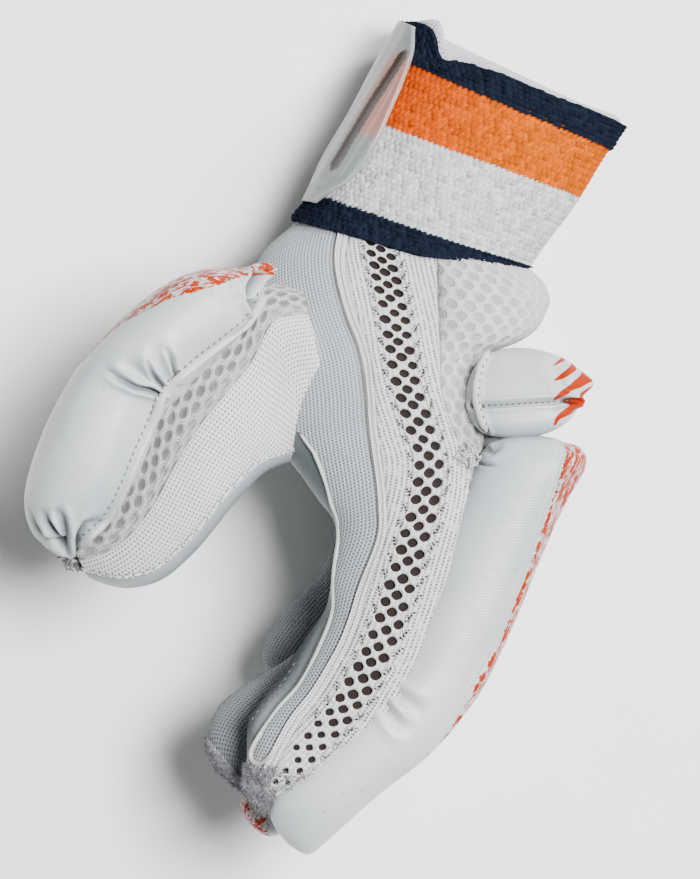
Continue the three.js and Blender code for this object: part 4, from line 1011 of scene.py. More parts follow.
def build_strap():
    def relief(u, v, t, row, lap):
        return 0.6 * bell(t, 1, 0.03) + 0.25 * waves(u, v, 9)

    def reach(skin):
        share = (skin.rows / CUFF_LAST - STRAP_FROM) / STRAP_SPAN
        return lap_at(read(STRAP_ROWS, share * (len(STRAP_ROWS) - 1))[..., 0])

    obj = panel("strap_sheet", cuff, 0.60, 4.95, at_lap(-1.5), reach, (0.8, 0.6), 2.2, 1.3, relief, 0.0, 6,
                from_end=True, inner=0)
    me = obj.data
    co = coords(me)
    high = co[:, 2] > STRAP_TOP
    groove, along_groove = line_gap(co[:, :2], track(STRAP_GROOVE))
    outer, inner, warm = (line_gap(co[:, :2], track(line))[0] for line in (
        STRAP_OUTER_EDGE, STRAP_INNER_EDGE, STRAP_WARM))
    ends = unit(along_groove * 9) * unit((1 - along_groove) * 9)
    rim = np.maximum(bell(outer, 1.2, 0.9), bell(inner, 0, 0.5))
    # Masks: painted shadow with the hook-and-loop edge along the groove, painted highlight on the rim, and
    # where the cuff's orange shows through
    colour_points(me, np.stack([bell(groove, 0, 2.3) * ends, rim, unit(1.7 - warm / 4.6)], 1) * high[:, None])
    co[:, 2] += (-0.5 * bell(groove, 0, 0.9) + 0.7 * bell(groove, 3.0, 1.0) * (inner > 3)) * high
    set_coords(me, co)
    put(obj, ["wrist_strap"], [STRAP_PLASTIC])


# Side: knit, piping and tape from the cuff to the forefinger's tip
piping_lap = at_shares(PIPING_ROWS, PIPING_SHARES)


def to_piping(skin):
    return LAPS + piping_lap(skin)


def build_side():
    def slow(u, v, t, row, lap):
        return 0.30 * waves(u, v, 7) - 0.7 * bell(t, 1, 0.06)

    def cord(u, v, t, row, lap):
        return 0.95 * np.sin(math.pi * t) ** 0.6 + 0.35 * waves(u, 0, 6)

    def ridges(u, v, t, row, lap):
        fuzz = 0.22 * np.sin(u * TWO_PI / 1.4 + 3 * t) * (rng.random(u.shape) + 0.3)
        return 2.1 * bell(t, 0.28, 0.17) + 1.3 * bell(t, 0.76, 0.14) + fuzz + 0.25 * waves(u, v, 5) - 0.5

    def cord_start(skin):
        return skin.lap((skin.dist(piping_lap(skin)) - 1.5)[:, None])[:, 0]

    knit = panel("side_knit_sheet", side, 0, TIP_ROW, piping_lap, at_share(TAPE), (1.0, 0.8),
                 relief=slow, spine=0.3, from_end=True)
    put(knit, ["side_knit"], [SIDE_KNIT, INNER])
    piping = panel("side_piping_cord", side, PIPING_START, TIP_ROW, cord_start, piping_lap, (0.8, 0.25), -0.1,
                   1.8, cord, 0.0)
    put(piping, ["side_piping"], [PIPING, PIPING])
    tape = panel("rib_tape_strip", side, 0, TIP_ROW, at_share(TAPE), at_share(NET), (0.5, 0.25), 0.0, 1.8,
                 ridges, 0.5)
    put(tape, ["rib_tape"], [TAPE_KNIT, INNER])


# Net: its pattern is drawn flat, along and across from the middle of its holes, then laid on the hand
HOLE_COLUMNS = (-2, -1, 0, 1, 2)
HOLE_COLUMN_SPACING = 3.35
HOLE_PITCH = 5.1
HOLE_SIZE = 1.75
HOLE_POWER = 1.75
FIRST_HOLE, LAST_HOLE_ROW, FADE_ROW = 3.2, 14.6, 11.3
SMALL_HOLE = 0.6
NET_GRID = 0.8


class Net:
    """The skin under the net and the edges of its flat pattern."""

    def __init__(self):
        self.rows, _ = even_rows(side, 0, TIP_ROW, 1.0)
        self.skin = Skin(side, self.rows)
        at = self.skin.sec["at"][:, 0]
        middle_lap = lap_at(at[:, HOLES])
        self.middle = self.skin.dist(middle_lap)
        self.far = travel(point(self.skin.sec, middle_lap[:, None])[:, 0])
        self.end = self.far[-1]
        self.edges = [self.skin.dist(lap_at(at[:, column])) - self.middle for column in (NET, SEAM)]

    def left(self, x):
        return np.interp(x, self.far, self.edges[0])

    def right(self, x):
        return np.interp(x, self.far, self.edges[1])

    def inside(self, x, y, left_room, right_room):
        return self.left(x) + left_room < y < self.right(x) - right_room

    def lay(self, flat):
        """Rows and laps of places on the pattern."""
        row = np.interp(flat[:, 0], self.far, self.rows)
        dist = np.interp(flat[:, 0], self.far, self.middle) + flat[:, 1]
        k = np.clip(np.searchsorted(self.rows, row) - 1, 0, len(self.rows) - 2)
        f = (row - self.rows[k]) / (self.rows[k + 1] - self.rows[k])
        far, laps = self.skin.far, self.skin.laps
        lap = [np.interp(d, far[i], laps) * (1 - g) + np.interp(d, far[i + 1], laps) * g
               for d, i, g in zip(dist, k, f)]
        return row, np.array(lap)


def hole_cluster(net, x, y, col):
    """A few tiny holes in a slanted row: along, across, half length, half width and tilt of each."""
    way = np.sign(col)
    holes = []
    for j in range(-1, 3 if col > 0 else 2):
        small = 0.30 + 0.16 * random.random()
        place = x - 1.15 * j + 0.3 * random.random(), y + way * (0.62 * j + 0.35 * random.random())
        if net.inside(*place, 1.2, 1.2):
            holes.append((*place, small, small, 0.0))
    return holes


def net_holes(net):
    """All holes, and the middles of the clusters."""
    holes, clusters = [], []
    x = FIRST_HOLE
    last, fade_from = (np.interp(row, net.rows, net.far) for row in (LAST_HOLE_ROW, FADE_ROW))
    while x < last:
        fade = unit((x - fade_from) / 45)
        pitch = HOLE_PITCH + unit((x - 15) / 15) - 0.7 * fade
        for col in HOLE_COLUMNS:
            y = col * HOLE_COLUMN_SPACING + 0.2 * math.sin(x * 0.7 + col)
            cx = x + (pitch / 2 if col % 2 == 0 else 0) + 0.2 * math.sin(x * 1.3 + 2 * col)
            if not net.inside(cx, y, 2.2, 2.0):
                continue
            if abs(col) == 2:
                y = y - 0.5 * np.sign(col)
                clusters.append((cx, y))
                holes += hole_cluster(net, cx, y, col)
                continue
            size = (HOLE_SIZE - 0.75 * fade) * (0.93 + 0.14 * random.random())
            holes.append((cx, y, size, size * (1.12 - 0.2 * fade), 0.22 * col + 0.08))
        x += pitch
    return holes, clusters


def hole_ring(hole, scale):
    """Points round a hole, at a scale of its size."""
    cx, cy, a, b, tilt = hole
    count = 12 if a > SMALL_HOLE else 6
    ring = []
    for i in range(count):
        w = TWO_PI * i / count
        ex = a * scale * math.copysign(abs(math.cos(w)) ** (2 / HOLE_POWER), math.cos(w))
        ey = b * scale * math.copysign(abs(math.sin(w)) ** (2 / HOLE_POWER), math.sin(w))
        ring.append((cx + ex * math.cos(tilt) - ey * math.sin(tilt),
                     cy + ex * math.sin(tilt) + ey * math.cos(tilt)))
    return ring


def net_pattern(net, holes):
    """Flat points and faces of the cloth between the holes."""
    verts, edges = [], []

    def loop(pts):
        first = len(verts)
        verts.extend(pts)
        edges.extend((first + k, first + (k + 1) % len(pts)) for k in range(len(pts)))

    us = np.linspace(0, net.end, 240)
    loop([(a, float(net.left(a))) for a in us] + [(a, float(net.right(a))) for a in us[::-1]])
    for hole in holes:
        loop(hole_ring(hole, 1.0))
        for scale in (1.2, 1.45) if hole[2] > SMALL_HOLE else (1.6,):
            verts.extend(hole_ring(hole, scale))
    table = np.array(holes)
    for k, a in enumerate(np.arange(NET_GRID, net.end - 0.3, NET_GRID)):
        for b in np.arange(float(net.left(a)) + 0.5, float(net.right(a)) - 0.4, NET_GRID):
            b += NET_GRID / 2 * (k % 2)
            gap = np.hypot(table[:, 0] - a, table[:, 1] - b) - (table[:, 2] * 1.5 + 0.3)
            if b <= net.right(a) - 0.4 and (gap > 0).all():
                verts.append((a, b))
    out = delaunay_2d_cdt([Vector(q) for q in verts], edges, [], 0, 1e-5)
    flat = np.array([(q.x, q.y) for q in out[0]])
    middle = np.array([flat[list(f)].mean(0) for f in out[2]])
    cos, sin = np.cos(table[:, 4]), np.sin(table[:, 4])
    dx, dy = middle[:, :1] - table[:, 0], middle[:, 1:] - table[:, 1]
    ex = np.abs((dx * cos + dy * sin) / table[:, 2]) ** HOLE_POWER
    ey = np.abs((-dx * sin + dy * cos) / table[:, 3]) ** HOLE_POWER
    x, y = middle.T
    cloth = (ex + ey > 0.97).all(1) & (y > net.left(x) - 0.01) & (y < net.right(x) + 0.01)
    return flat, [tuple(f) for f, keep in zip(out[2], cloth) if keep]


def build_net():
    net = Net()
    holes, clusters = net_holes(net)
    flat, faces = net_pattern(net, holes)
    x, y = flat.T
    rim = np.full(len(flat), 9.0)
    for hole in holes:
        rim = np.minimum(rim, np.hypot(x - hole[0], y - hole[1]) / hole[2])
    zone = np.zeros(len(flat))
    for cx, cy in clusters:
        zone = np.maximum(zone, np.exp(-((x - cx) / 1.7) ** 2 - ((y - cy) / 1.1) ** 2))
    from_left, from_right = y - net.left(x), net.right(x) - y
    open_part = np.exp(-(np.abs(y) / 5.4) ** 4)
    lift = 0.5 * bell(rim, 1.4, 0.25) - 0.3 * bell(rim, 0.98, 0.12)
    lift += 0.3 * (rng.random(len(flat)) - 0.5) * (rim > 1.3) + 0.35 * waves(x, y, 8)
    lift += 0.8 * bell(from_right, 1.6, 0.9) * (0.7 + 0.3 * np.sin(x * TWO_PI / 2.2))
    lift += -0.8 * bell(from_left, 0, 0.8) - 0.9 * bell(from_right, 0, 0.5) - 0.4 * zone - 0.35 * open_part
    row, lap = net.lay(flat)
    n = len(flat)
    seen = {(f[i], f[(i + 1) % 3]) for f in faces for i in range(3)}
    faces += sorted((b, a, a + n, b + n) for a, b in seen if (b, a) not in seen)
    both = np.concatenate([flat, flat])
    uv = np.array([both[i] for f in faces for i in f])
    tint = np.stack([zone, open_part, np.zeros(n)], 1)
    points = np.concatenate([point(side(row), lap, lift), point(side(row), lap, lift * 0.4 - 1.3)])
    obj = mesh_object("net_sheet", points, faces, uv, np.concatenate([tint, tint]))
    if sum(face.normal.z for face in list(obj.data.polygons)[:400]) < 0:
        obj.data.flip_normals()
    put(obj, ["mesh_gusset"], [NET_KNIT])
    low = panel("net_lining_sheet", side, 0.05, TIP_ROW - 0.1, at_share(NET), at_share(SEAM), (3, 3),
                -1.9, 0.4, inner=0)
    put(low, (), [NET_LINING])


# Back, palm and floor side of the hand
CHANNEL_SEAM = [(296, 660), (284, 680), (271, 697), (256, 713), (244, 731), (242, 748)]
CHANNEL_BULGE = 6.4


def cell_dip(u, v, width):
    """How deep a place lies in one of the mesh's cells, from 0 to 1."""
    fields = []
    for k in (0.0, 0.5):
        x = (np.mod(u / CELL_PITCH[0] + k, 1) - 0.5) * (2 * CELL_PITCH[0] / CELL_SIZE[0])
        y = (np.mod(v / CELL_PITCH[1] + k, 1) - 0.5) * (2 * CELL_PITCH[1] / CELL_SIZE[1])
        fields.append(np.hypot(x, y))
    return unit((1.02 - np.minimum(*fields)) / width) ** 0.7


def build_back():
    def relief(u, v, t, row, lap):
        across = unit((lap - lap[:, :1]) / (lap[:, -1:] - lap[:, :1]))
        puff = WRIST_PUFF * read(PUFF_ROWS, row * 2)[..., 0] * np.sin(math.pi * across) ** 0.5
        return puff - 0.45 * cell_dip(u, v, 0.4) + 0.4 * waves(u, v, 9)

    obj = panel("back_mesh_sheet", hand, 0, HAND_END, at_share(SEAM), at_lap(BACK_SEAM), (0.75, 0.75),
                relief=relief, spine=2.0, every=8)
    put(obj, ["back_mesh"], [BACK_MESH, INNER])


def build_hand():
    def slow(u, v, t, row, lap):
        return 0.35 * waves(u, v, 8)

    def bulge(u, v, t, row, lap):
        along = unit((row - 9.0) / 2.5) * unit((15.2 - row) / 1.5)
        return CHANNEL_BULGE * along * bell(lap, 5.4, 0.42) + 0.2 * waves(u, v, 6)

    obj = panel("ulnar_sheet", hand, 0, HAND_END, at_lap(BACK_SEAM), at_lap(PALM_SEAM), (1.6, 1.6), spine=4.0)
    put(obj, ["ulnar_panel"], [STALL_KNIT, INNER])
    obj = panel("palm_sheet", hand, 0, HAND_END, at_lap(PALM_SEAM), to_piping, (1.3, 1.3), -0.3,
                relief=slow, spine=5.5)
    put(obj, ["palm_panel"], [PALM_LEATHER, INNER])
    obj = panel("forefinger_channel", index, CROTCH_ROW + 0.02, TIP_ROW, at_lap(2.0), to_piping, (1.2, 1.2),
                -0.3, relief=bulge, spine=5.5)
    put(obj, ["index_stall"], [CHANNEL_LEATHER, INNER])
    seam("channel_thread", [obj], CHANNEL_SEAM, 2.9, length=1.5, width=0.3)


# Stalls and towelling
def tube(name, form, first, last, step, out, relief):
    """A closed stall with rounded ends."""
    rows, s = even_rows(form, first, last, step)
    skin = Skin(form, rows)
    girth = skin.dist(6.0)
    n, m = len(rows), max(int(girth.max() / step), 12)
    dist = girth[:, None] * (np.arange(m) / m)
    laps = skin.lap(dist)
    off = out + relief(np.broadcast_to(s[:, None], dist.shape), dist, rows[:, None], laps)
    pts = point(skin.sec, laps, off).reshape(-1, 3)
    v = girth[:, None] * (np.arange(m + 1) / m)
    quads, corner = grid_faces(n, m, True)
    faces, uv = [tuple(f) for f in quads], list(grid_uv(corner, s[:, None], v))
    for i, tail in ((0, False), (n - 1, True)):
        ring = list(range(i * m, (i + 1) * m))
        base = pts[ring]
        hub = base.mean(0)
        for k in (0.6, 0.25):
            fresh = list(range(len(pts), len(pts) + m))
            pts = np.concatenate([pts, hub + (base - hub) * k])
            for j in range(m):
                quad = ring[j], ring[(j + 1) % m], fresh[(j + 1) % m], fresh[j]
                faces.append(quad[::-1] if tail else quad)
                uv += [(s[i], v[i, j])] * 4
            ring = fresh
        for j in range(m):
            fan = ring[j], ring[(j + 1) % m], len(pts)
            faces.append(fan[::-1] if tail else fan)
            uv += [(s[i], v[i, j])] * 3
        pts = np.concatenate([pts, hub[None]])
    return face_out(mesh_object(name, pts, faces, np.array(uv)))


def tufts(name, obj, count, length, width=0.16, where=None):
    """Short bent fibres that stand on a cloth, each of three rings of three points."""
    a, b, c = triangles(obj.data)
    normal = np.cross(b - a, c - a)
    area = np.linalg.norm(normal, axis=1)
    weight = area
    if where is not None:
        mid = (a + b + c) / 3
        weight = area * where(*pixels_of(mid[:, 0], mid[:, 1])) * (normal[:, 2] > 0.4 * area)
    normal = normal / np.maximum(area, 1e-9)[:, None]
    pick = rng.choice(len(a), count, p=weight / weight.sum())
    r1, r2 = rng.random((2, count, 1))
    over = r1 + r2 > 1
    r1, r2 = np.where(over, 1 - r1, r1), np.where(over, 1 - r2, r2)
    root = a[pick] + (b[pick] - a[pick]) * r1 + (c[pick] - a[pick]) * r2
    way = normed(normal[pick] + rng.normal(0, 0.55, (count, 3)))
    bend = rng.normal(0, 0.6, (count, 3))
    size = length * (0.5 + rng.random((count, 1)))
    one = normed(np.cross(way, rng.normal(0, 1, (count, 3))))
    other = np.cross(way, one)
    rings = []
    for t, k in ((-0.1, 1.0), (0.5, 0.8), (1.0, 0.25)):
        centre = root + (way * t + bend * max(t, 0) ** 2 * 0.6) * size
        rings += [centre + (one * math.cos(w) + other * math.sin(w)) * width * k
                  for w in (TWO_PI * i / 3 for i in range(3))]
    points = np.stack(rings, 1)
    points[..., 2] = np.maximum(points[..., 2], 0.05)
    shell = [(r + i, r + (i + 1) % 3, r + 3 + (i + 1) % 3, r + 3 + i) for r in (0, 3) for i in range(3)]
    first = (np.arange(count) * 9)[:, None, None]
    faces = [tuple(f) for part in (shell, [(6, 7, 8)], [(2, 1, 0)])
             for f in (np.array(part)[None] + first).reshape(-1, len(part[0]))]
    put(mesh_object(name, points.reshape(-1, 3), faces, blank_uv(faces)), (), [TOWELLING])


def build_stalls():
    for name in ("middle", "ring", "little"):
        def relief(u, v, row, lap):
            return 0.45 * waves(u, v, 7, FINGER_NAMES.index(name)) - 0.6 * bell(lap, 5.5, 0.06)

        form = finger_form(FINGER_ROWS, name, CLOTH_POWER)
        obj = tube(f"{name}_stall_knit", form, 0.05, len(FINGER_ROWS[name]) - 1.02, 1.3, 0.0, relief)
        put(obj, [f"{name}_stall"], [STALL_KNIT])

    def fuzz(scale):
        return lambda u, v, row, lap: scale * (rng.random(u.shape) - 0.35) + 0.5 * waves(u, v, 1.6)

    middle = finger_form(FINGER_ROWS, "middle", CLOTH_POWER)
    one = tube("forefinger_towelling", index, TIP_ROW, LAST_ROW, 0.6, 0.3, fuzz(0.5))
    put(one, ["index_tip"], [TOWELLING])
    two = tube("middle_towelling", middle, 6.9, len(FINGER_ROWS["middle"]) - 1, 0.6, 0.5, fuzz(0.6))
    put(two, (), [TOWELLING])
    tufts("forefinger_tufts", one, 2000, 1.1)
    tufts("middle_tufts", two, 1600, 1.1)


# Pads: coarse forms that are blown up as cloth, then folded and creased
PAD_SHRINK = 0.8
# Size and height of the rings that close a pad, and the height of its last point
PAD_CAP = ((0.72, 1.3), (0.35, 2.2))
PAD_CAP_TOP = 2.5
# Sizes of the faces of each finger's roll and knuckle block, and of the thumb's roll
PAD_FACES = {"index": (4.2, 4.0), "middle": (4.8, 4.6), "ring": (6.0, 4.6), "little": (6.0, 4.6)}
THUMB_PAD_FACE = 4.4
FINE_PADS = ("index_roll", "index_knuckle", "thumb_roll")
BLOW_FRAMES = 20
MOST_BLOW = 3.2


def pad(name, form, last, material, size):
    """A coarse closed form with rounded ends and empty masks."""
    rows, s = even_rows(form, 0, last, size)
    skin = Skin(form, rows)
    girth = skin.dist(6.0)
    m = 2 * int(girth.max() / size / 2)
    p = point(skin.sec, skin.lap(girth[:, None] * (np.arange(m) / m)), -PAD_SHRINK)
    caps, tops = [], []
    for ring, before in ((p[0], p[1]), (p[-1], p[-2])):
        hub = ring.mean(0)
        way = normed(hub - before.mean(0))
        caps.append([hub + (ring - hub) * share + way * rise for share, rise in PAD_CAP])
        tops.append(hub + way * PAD_CAP_TOP)
    rings = np.stack([*caps[0][::-1], *p, *caps[1]])
    count = len(rings)
    u = np.concatenate([[-8, -4], s, [s[-1] + 4, s[-1] + 8]])
    own_row = np.clip(np.arange(-2, len(rows) + 2), 0, len(rows) - 1)
    v = girth[own_row][:, None] * (np.arange(m + 1) / m)
    quads, corner = grid_faces(count, m, True)
    faces, uv = [tuple(f) for f in quads], list(grid_uv(corner, u[:, None], v))
    end = (count - 1) * m
    for j in range(m):
        k = (j + 1) % m
        faces += [(count * m, j, k), (count * m + 1, end + k, end + j)]
        uv += [(u[0] - 3, v[0, j])] * 3 + [(u[-1] + 3, v[-1, j])] * 3
    points = np.concatenate([rings.reshape(-1, 3), tops])
    obj = face_out(mesh_object(name, points, faces, np.array(uv), np.zeros((len(points), 3))))
    obj.data.materials.append(material)
    return obj


def blow_up(objs):
    """Inflates the pads as cloth, all at once, and keeps each point near its place."""
    before = [coords(obj.data) for obj in objs]
    for obj in objs:
        cloth = obj.modifiers.new("fill", "CLOTH")
        s = cloth.settings
        s.quality = 4
        s.mass = 0.3
        s.use_pressure = True
        s.uniform_pressure_force = 4.0
        s.tension_stiffness = s.compression_stiffness = 12
        s.shear_stiffness = 6
        s.bending_stiffness = 0.4
        s.effector_weights.gravity = 0
        cloth.collision_settings.use_collision = False
        cloth.point_cache.frame_start, cloth.point_cache.frame_end = 1, BLOW_FRAMES
    for frame_number in range(1, BLOW_FRAMES + 1):
        scene.frame_set(frame_number)
    deps = bpy.context.evaluated_depsgraph_get()
    for obj, place in zip(objs, before):
        move = coords(obj.evaluated_get(deps).data) - place
        move[:, 2] *= 0.45
        move *= np.minimum(1, MOST_BLOW / np.maximum(np.linalg.norm(move, axis=1, keepdims=True), 1e-6))
        obj.modifiers.remove(obj.modifiers["fill"])
        co = place + move
        co[:, 2] = np.maximum(co[:, 2], 0)
        set_coords(obj.data, co)
    scene.frame_set(1)


def refine(obj, levels):
    mod = obj.modifiers.new("fine", "SUBSURF")
    mod.levels = mod.render_levels = levels
    deps = bpy.context.evaluated_depsgraph_get()
    me = bpy.data.meshes.new_from_object(obj.evaluated_get(deps), depsgraph=deps)
    obj.modifiers.remove(mod)
    coarse = obj.data
    obj.data = me
    bpy.data.meshes.remove(coarse)
    me.polygons.foreach_set("use_smooth", [True] * len(me.polygons))


def line_gap(p, line):
    """Distance from points to a polyline and the share of the way along it."""
    best, share = np.full(len(p), 1e9), np.zeros(len(p))
    steps = np.linalg.norm(np.diff(line, axis=0), axis=1)
    so_far = 0.0
    for a, b, length in zip(line[:-1], line[1:], steps):
        t = unit(((p - a) @ (b - a)) / length ** 2)
        d = np.linalg.norm(p - (a + t[:, None] * (b - a)), axis=1)
        near = d < best
        best = np.where(near, d, best)
        share = np.where(near, (so_far + t * length) / steps.sum(), share)
        so_far += length
    return best, share


def mark(me, channel, values):
    """Writes one of the three painted masks of a piece."""
    layer = me.color_attributes["tint"].data
    rgba = np.empty(len(me.vertices) * 4)
    layer.foreach_get("color", rgba)
    rgba[channel::4] = values
    layer.foreach_set("color", rgba)


def paint(obj, mask):
    """Sets where print may show, from a test on pixels."""
    co = coords(obj.data)
    mark(obj.data, 0, unit(mask(*pixels_of(co[:, 0], co[:, 1])) * 1.0))


def crease_strength(t, fade):
    """How strong a crease is along its way, by the end at which it fades."""
    if fade == "both":
        return np.sin(math.pi * unit(0.12 + 0.76 * t))
    return {"in": 1 - t ** 1.5, "out": 1 - (1 - t) ** 1.5, "none": np.ones(len(t))}[fade]


def crease(obj, creases, lowest):
    """Presses creases into a pad from above, down to a height, and paints shade along them."""
    me = obj.data
    co, normal = coords(me), coords(me, "normal")
    top = unit((normal[:, 2] + 0.05) / 0.35) * (co[:, 2] > lowest)
    move, dark = np.zeros(len(co)), np.zeros(len(co))
    for pixels, depth, width, fade, shade in creases:
        gap, t = line_gap(co[:, :2], track(pixels))
        strength = crease_strength(t, fade)
        w = width * (0.7 + 0.5 * (1 - strength))
        move += depth * strength * (0.42 * bell(gap, 2.1 * w, 1.1 * w) - bell(gap, 0, w))
        # Painted shade along each crease, kept in the second mask
        dark = np.maximum(dark, shade * strength ** 0.5 * bell(gap, 0, np.minimum(0.85 * w, 1.0)))
    set_coords(me, co + normal * (move * top)[:, None])
    mark(me, 1, dark * top)


def gather(obj, centre, z, reach, folds, depth):
    """Pleats that run in to a gathered end."""
    me = obj.data
    co = coords(me)
    gap = co - np.append(spot(*centre), z)
    r = np.linalg.norm(gap, axis=1)
    angle = np.arctan2(gap[:, 2], gap[:, 0] + 0.6 * gap[:, 1])
    pleats = depth * curve(np.sin(angle * folds + 0.04 * r), 0.8) * bell(r, 0, reach) * unit(r / 4)
    set_coords(me, co + coords(me, "normal") * pleats[:, None])


def pull(obj, start, to, z, reach, amount):
    """Draws a corner of a pad out to a point."""
    me = obj.data
    co = coords(me)
    a, b = (np.append(spot(*place), z) for place in (start, to))
    way = normed(b - a)
    gap = co - b
    along_way = gap @ way
    r = np.linalg.norm(gap - along_way[:, None] * way, axis=1)
    near = np.exp(-(r / reach) ** 1.3) * unit(1 + along_way / (2.2 * reach)) ** 2
    set_coords(me, co + way * (amount * near)[:, None])


# Threads and flanges
STITCH_RINGS = ((-0.5, 0.15), (-0.42, 0.75), (0, 1.0), (0.42, 0.75), (0.5, 0.15))
STITCH_SIDES = 6
STITCH_SINK = 0.05
RIBBON_SIDES = 16


def surface_at(*objs):
    """A look-up of the highest place on some objects over a point, with its normal."""
    bpy.context.evaluated_depsgraph_get().update()

    def look(x, y):
        found = [obj.ray_cast(Vector((x / 1000, y / 1000, 0.4)), Vector((0, 0, -1))) for obj in objs]
        hits = [(np.array(where) * 1000, np.array(normal)) for hit, where, normal, _ in found if hit]
        return max(hits, key=lambda hit: hit[0][2]) if hits else None
    return look


def along(pixels, step):
    """Places at even steps along a line of pixels."""
    line = track(pixels)
    far = travel(line)
    at = np.arange(step / 2, far[-1], step)
    return np.stack([np.interp(at, far, line[:, k]) for k in (0, 1)], 1)


def stitches(name, places, material, length, width):
    """Thread over a seam: one small rounded capsule for each place, direction and normal."""
    points, faces = [], []
    last = (len(STITCH_RINGS) - 1) * STITCH_SIDES
    for place, way, normal in places:
        way = normed(np.asarray(way, float))
        other = normed(np.cross(normal, way))
        normal = np.cross(way, other)
        first = len(points)
        for t, k in STITCH_RINGS:
            middle = place + way * t * length + normal * (width * 0.5 - STITCH_SINK - 0.5 * abs(t))
            for w in (TWO_PI * i / STITCH_SIDES for i in range(STITCH_SIDES)):
                points.append(middle + (other * math.cos(w) + normal * (math.sin(w) * 0.8)) * width * k)
        for ring in range(first, first + last, STITCH_SIDES):
            for i in range(STITCH_SIDES):
                a, b = ring + i, ring + (i + 1) % STITCH_SIDES
                faces.append((a, b, b + STITCH_SIDES, a + STITCH_SIDES))
        ends = [tuple(range(start, start + STITCH_SIDES)) for start in (first, first + last)]
        faces += [ends[0][::-1], ends[1]]
    put(mesh_object(name, points, faces, blank_uv(faces)), (), [material])


def seam(name, objs, pixels, step, length=0.9, width=0.34):
    """Stitches along a line of pixels, on whichever of the objects is highest."""
    look = surface_at(*objs)
    line = along(pixels, step)
    places = []
    for k, place in enumerate(line):
        hit = look(*place)
        if hit:
            way = np.append(line[min(k + 1, len(line) - 1)] - line[max(k - 1, 0)], 0.0)
            places.append((hit[0], way - hit[1] * (way @ hit[1]), hit[1]))
    stitches(name, places, THREAD, length, width)


def tangle(name, centre, z, reach, count, material, length=3.4, width=0.5):
    """A small knot of cut threads."""
    places = []
    for _ in range(count):
        w = TWO_PI * random.random()
        r = reach * random.random() ** 0.7
        place = np.append(spot(*centre) + np.array([math.cos(w), math.sin(w)]) * r, z + 1.3 * random.random())
        way = random.uniform(-1, 1), random.uniform(-1, 1), random.uniform(-0.3, 0.5)
        places.append((place, way, (0, 0, 1)))
    stitches(name, places, material, length, width)


def ribbon(name, pixels, heights, width, rise, step=0.8, lean=0.0):
    """A rounded leather flange along a line; heights are given at the line's points."""
    line = track(pixels)
    far = travel(line)
    at = np.linspace(0, far[-1], int(far[-1] / step) + 2)
    c = np.stack([np.interp(at, far, w) for w in (line[:, 0], line[:, 1], heights)], 1)
    for _ in range(6):
        c[1:-1] = (c[:-2] + 2 * c[1:-1] + c[2:]) / 4
    way = normed(np.gradient(c, axis=0))
    across = normed(np.cross(way, [0, 0, 1]))
    up = np.cross(across, way)
    w = TWO_PI * np.arange(RIBBON_SIDES) / RIBBON_SIDES
    x, y = curve(np.cos(w), 0.7) * width / 2, curve(np.sin(w), 0.7) * rise / 2
    taper = np.minimum(1, np.minimum(np.arange(len(c)), np.arange(len(c))[::-1]) / 3 + 0.15)
    uneven = 1 + 0.05 * np.sin(at * 1.1) + 0.04 * np.sin(at * 2.7)
    rings = c[:, None] + across[:, None] * (x * (taper * uneven)[:, None])[..., None]
    rings = rings + up[:, None] * ((y + lean * x) * taper[:, None])[..., None]
    return ring_form(name, rings, at, 0.4, PIPING)


# Lines on the pads in pixels; a crease has its depth, width, the end at which it fades, and the strength of
# its painted shade
ROLL_CREASES = [
    ([(386, 685), (396, 692), (409, 701), (424, 714)], 2.6, 2.3, "in", 0.0),
    ([(384, 686), (390, 689), (397, 692)], 1.6, 0.7, "in", 0.9),
    ([(379, 694), (388, 710), (399, 722), (414, 728)], 2.4, 2.2, "in", 0.0),
    ([(378, 692), (383, 700), (387, 708)], 1.4, 0.7, "in", 0.7),
    ([(474, 462), (483, 464), (496, 466)], 1.5, 0.7, "in", 0.9),
    ([(484, 448), (491, 451), (503, 443)], 1.6, 1.4, "in", 0.4),
    ([(566, 444), (564, 455), (553, 492), (527, 566), (500, 638), (483, 667), (454, 720), (432, 752)],
     0.9, 0.8, "none", 0.12),
]
KNUCKLE_CREASES = [
    ([(474, 406), (500, 405), (530, 403), (572, 401)], 2.6, 1.2, "none", 0.4),
    ([(573, 401), (566, 400), (556, 397)], 2.2, 1.0, "in", 0.8),
    ([(570, 398), (560, 385), (553, 371)], 1.2, 2.2, "both", 0.0),
    ([(573, 402), (562, 408), (550, 411)], 1.2, 1.0, "in", 0.3),
    ([(486, 354), (478, 375), (476, 399), (482, 422), (487, 434)], 1.2, 0.9, "none", 0.5),
]
THUMB_CREASES = [
    ([(179, 379), (176, 371), (174, 361), (168, 348)], 2.4, 0.9, "in", 0.9),
    ([(167, 390), (161, 383), (155, 375), (149, 359)], 2.8, 1.0, "in", 0.95),
    ([(163, 395), (151, 391), (138, 388), (121, 379), (106, 367)], 3.0, 1.1, "in", 1.0),
    ([(161, 389), (150, 380), (132, 366)], 1.4, 2.4, "both", 0.0),
    ([(170, 384), (163, 370), (159, 352)], 1.3, 2.2, "both", 0.0),
    ([(257, 276), (252, 287), (250, 300), (255, 310)], 4.0, 1.7, "none", 1.0),
    ([(246, 284), (240, 300), (246, 314)], 1.8, 1.8, "both", 0.15),
    ([(228, 292), (233, 306), (238, 318)], 1.2, 2.4, "both", 0.0),
    ([(30, 504), (36, 522), (45, 536), (66, 543)], 3.8, 1.4, "out", 0.9),
    ([(44, 506), (50, 522), (59, 532), (69, 542)], 3.8, 1.3, "out", 0.95),
    ([(57, 506), (65, 518), (70, 538)], 3.6, 1.4, "out", 0.8),
    ([(105, 518), (89, 525), (80, 537), (77, 546)], 3.4, 1.5, "out", 0.8),
]
ROLL_FOLD = [(562, 444), (564, 455), (553, 492), (527, 566), (500, 638), (483, 667), (454, 720), (428, 757)]
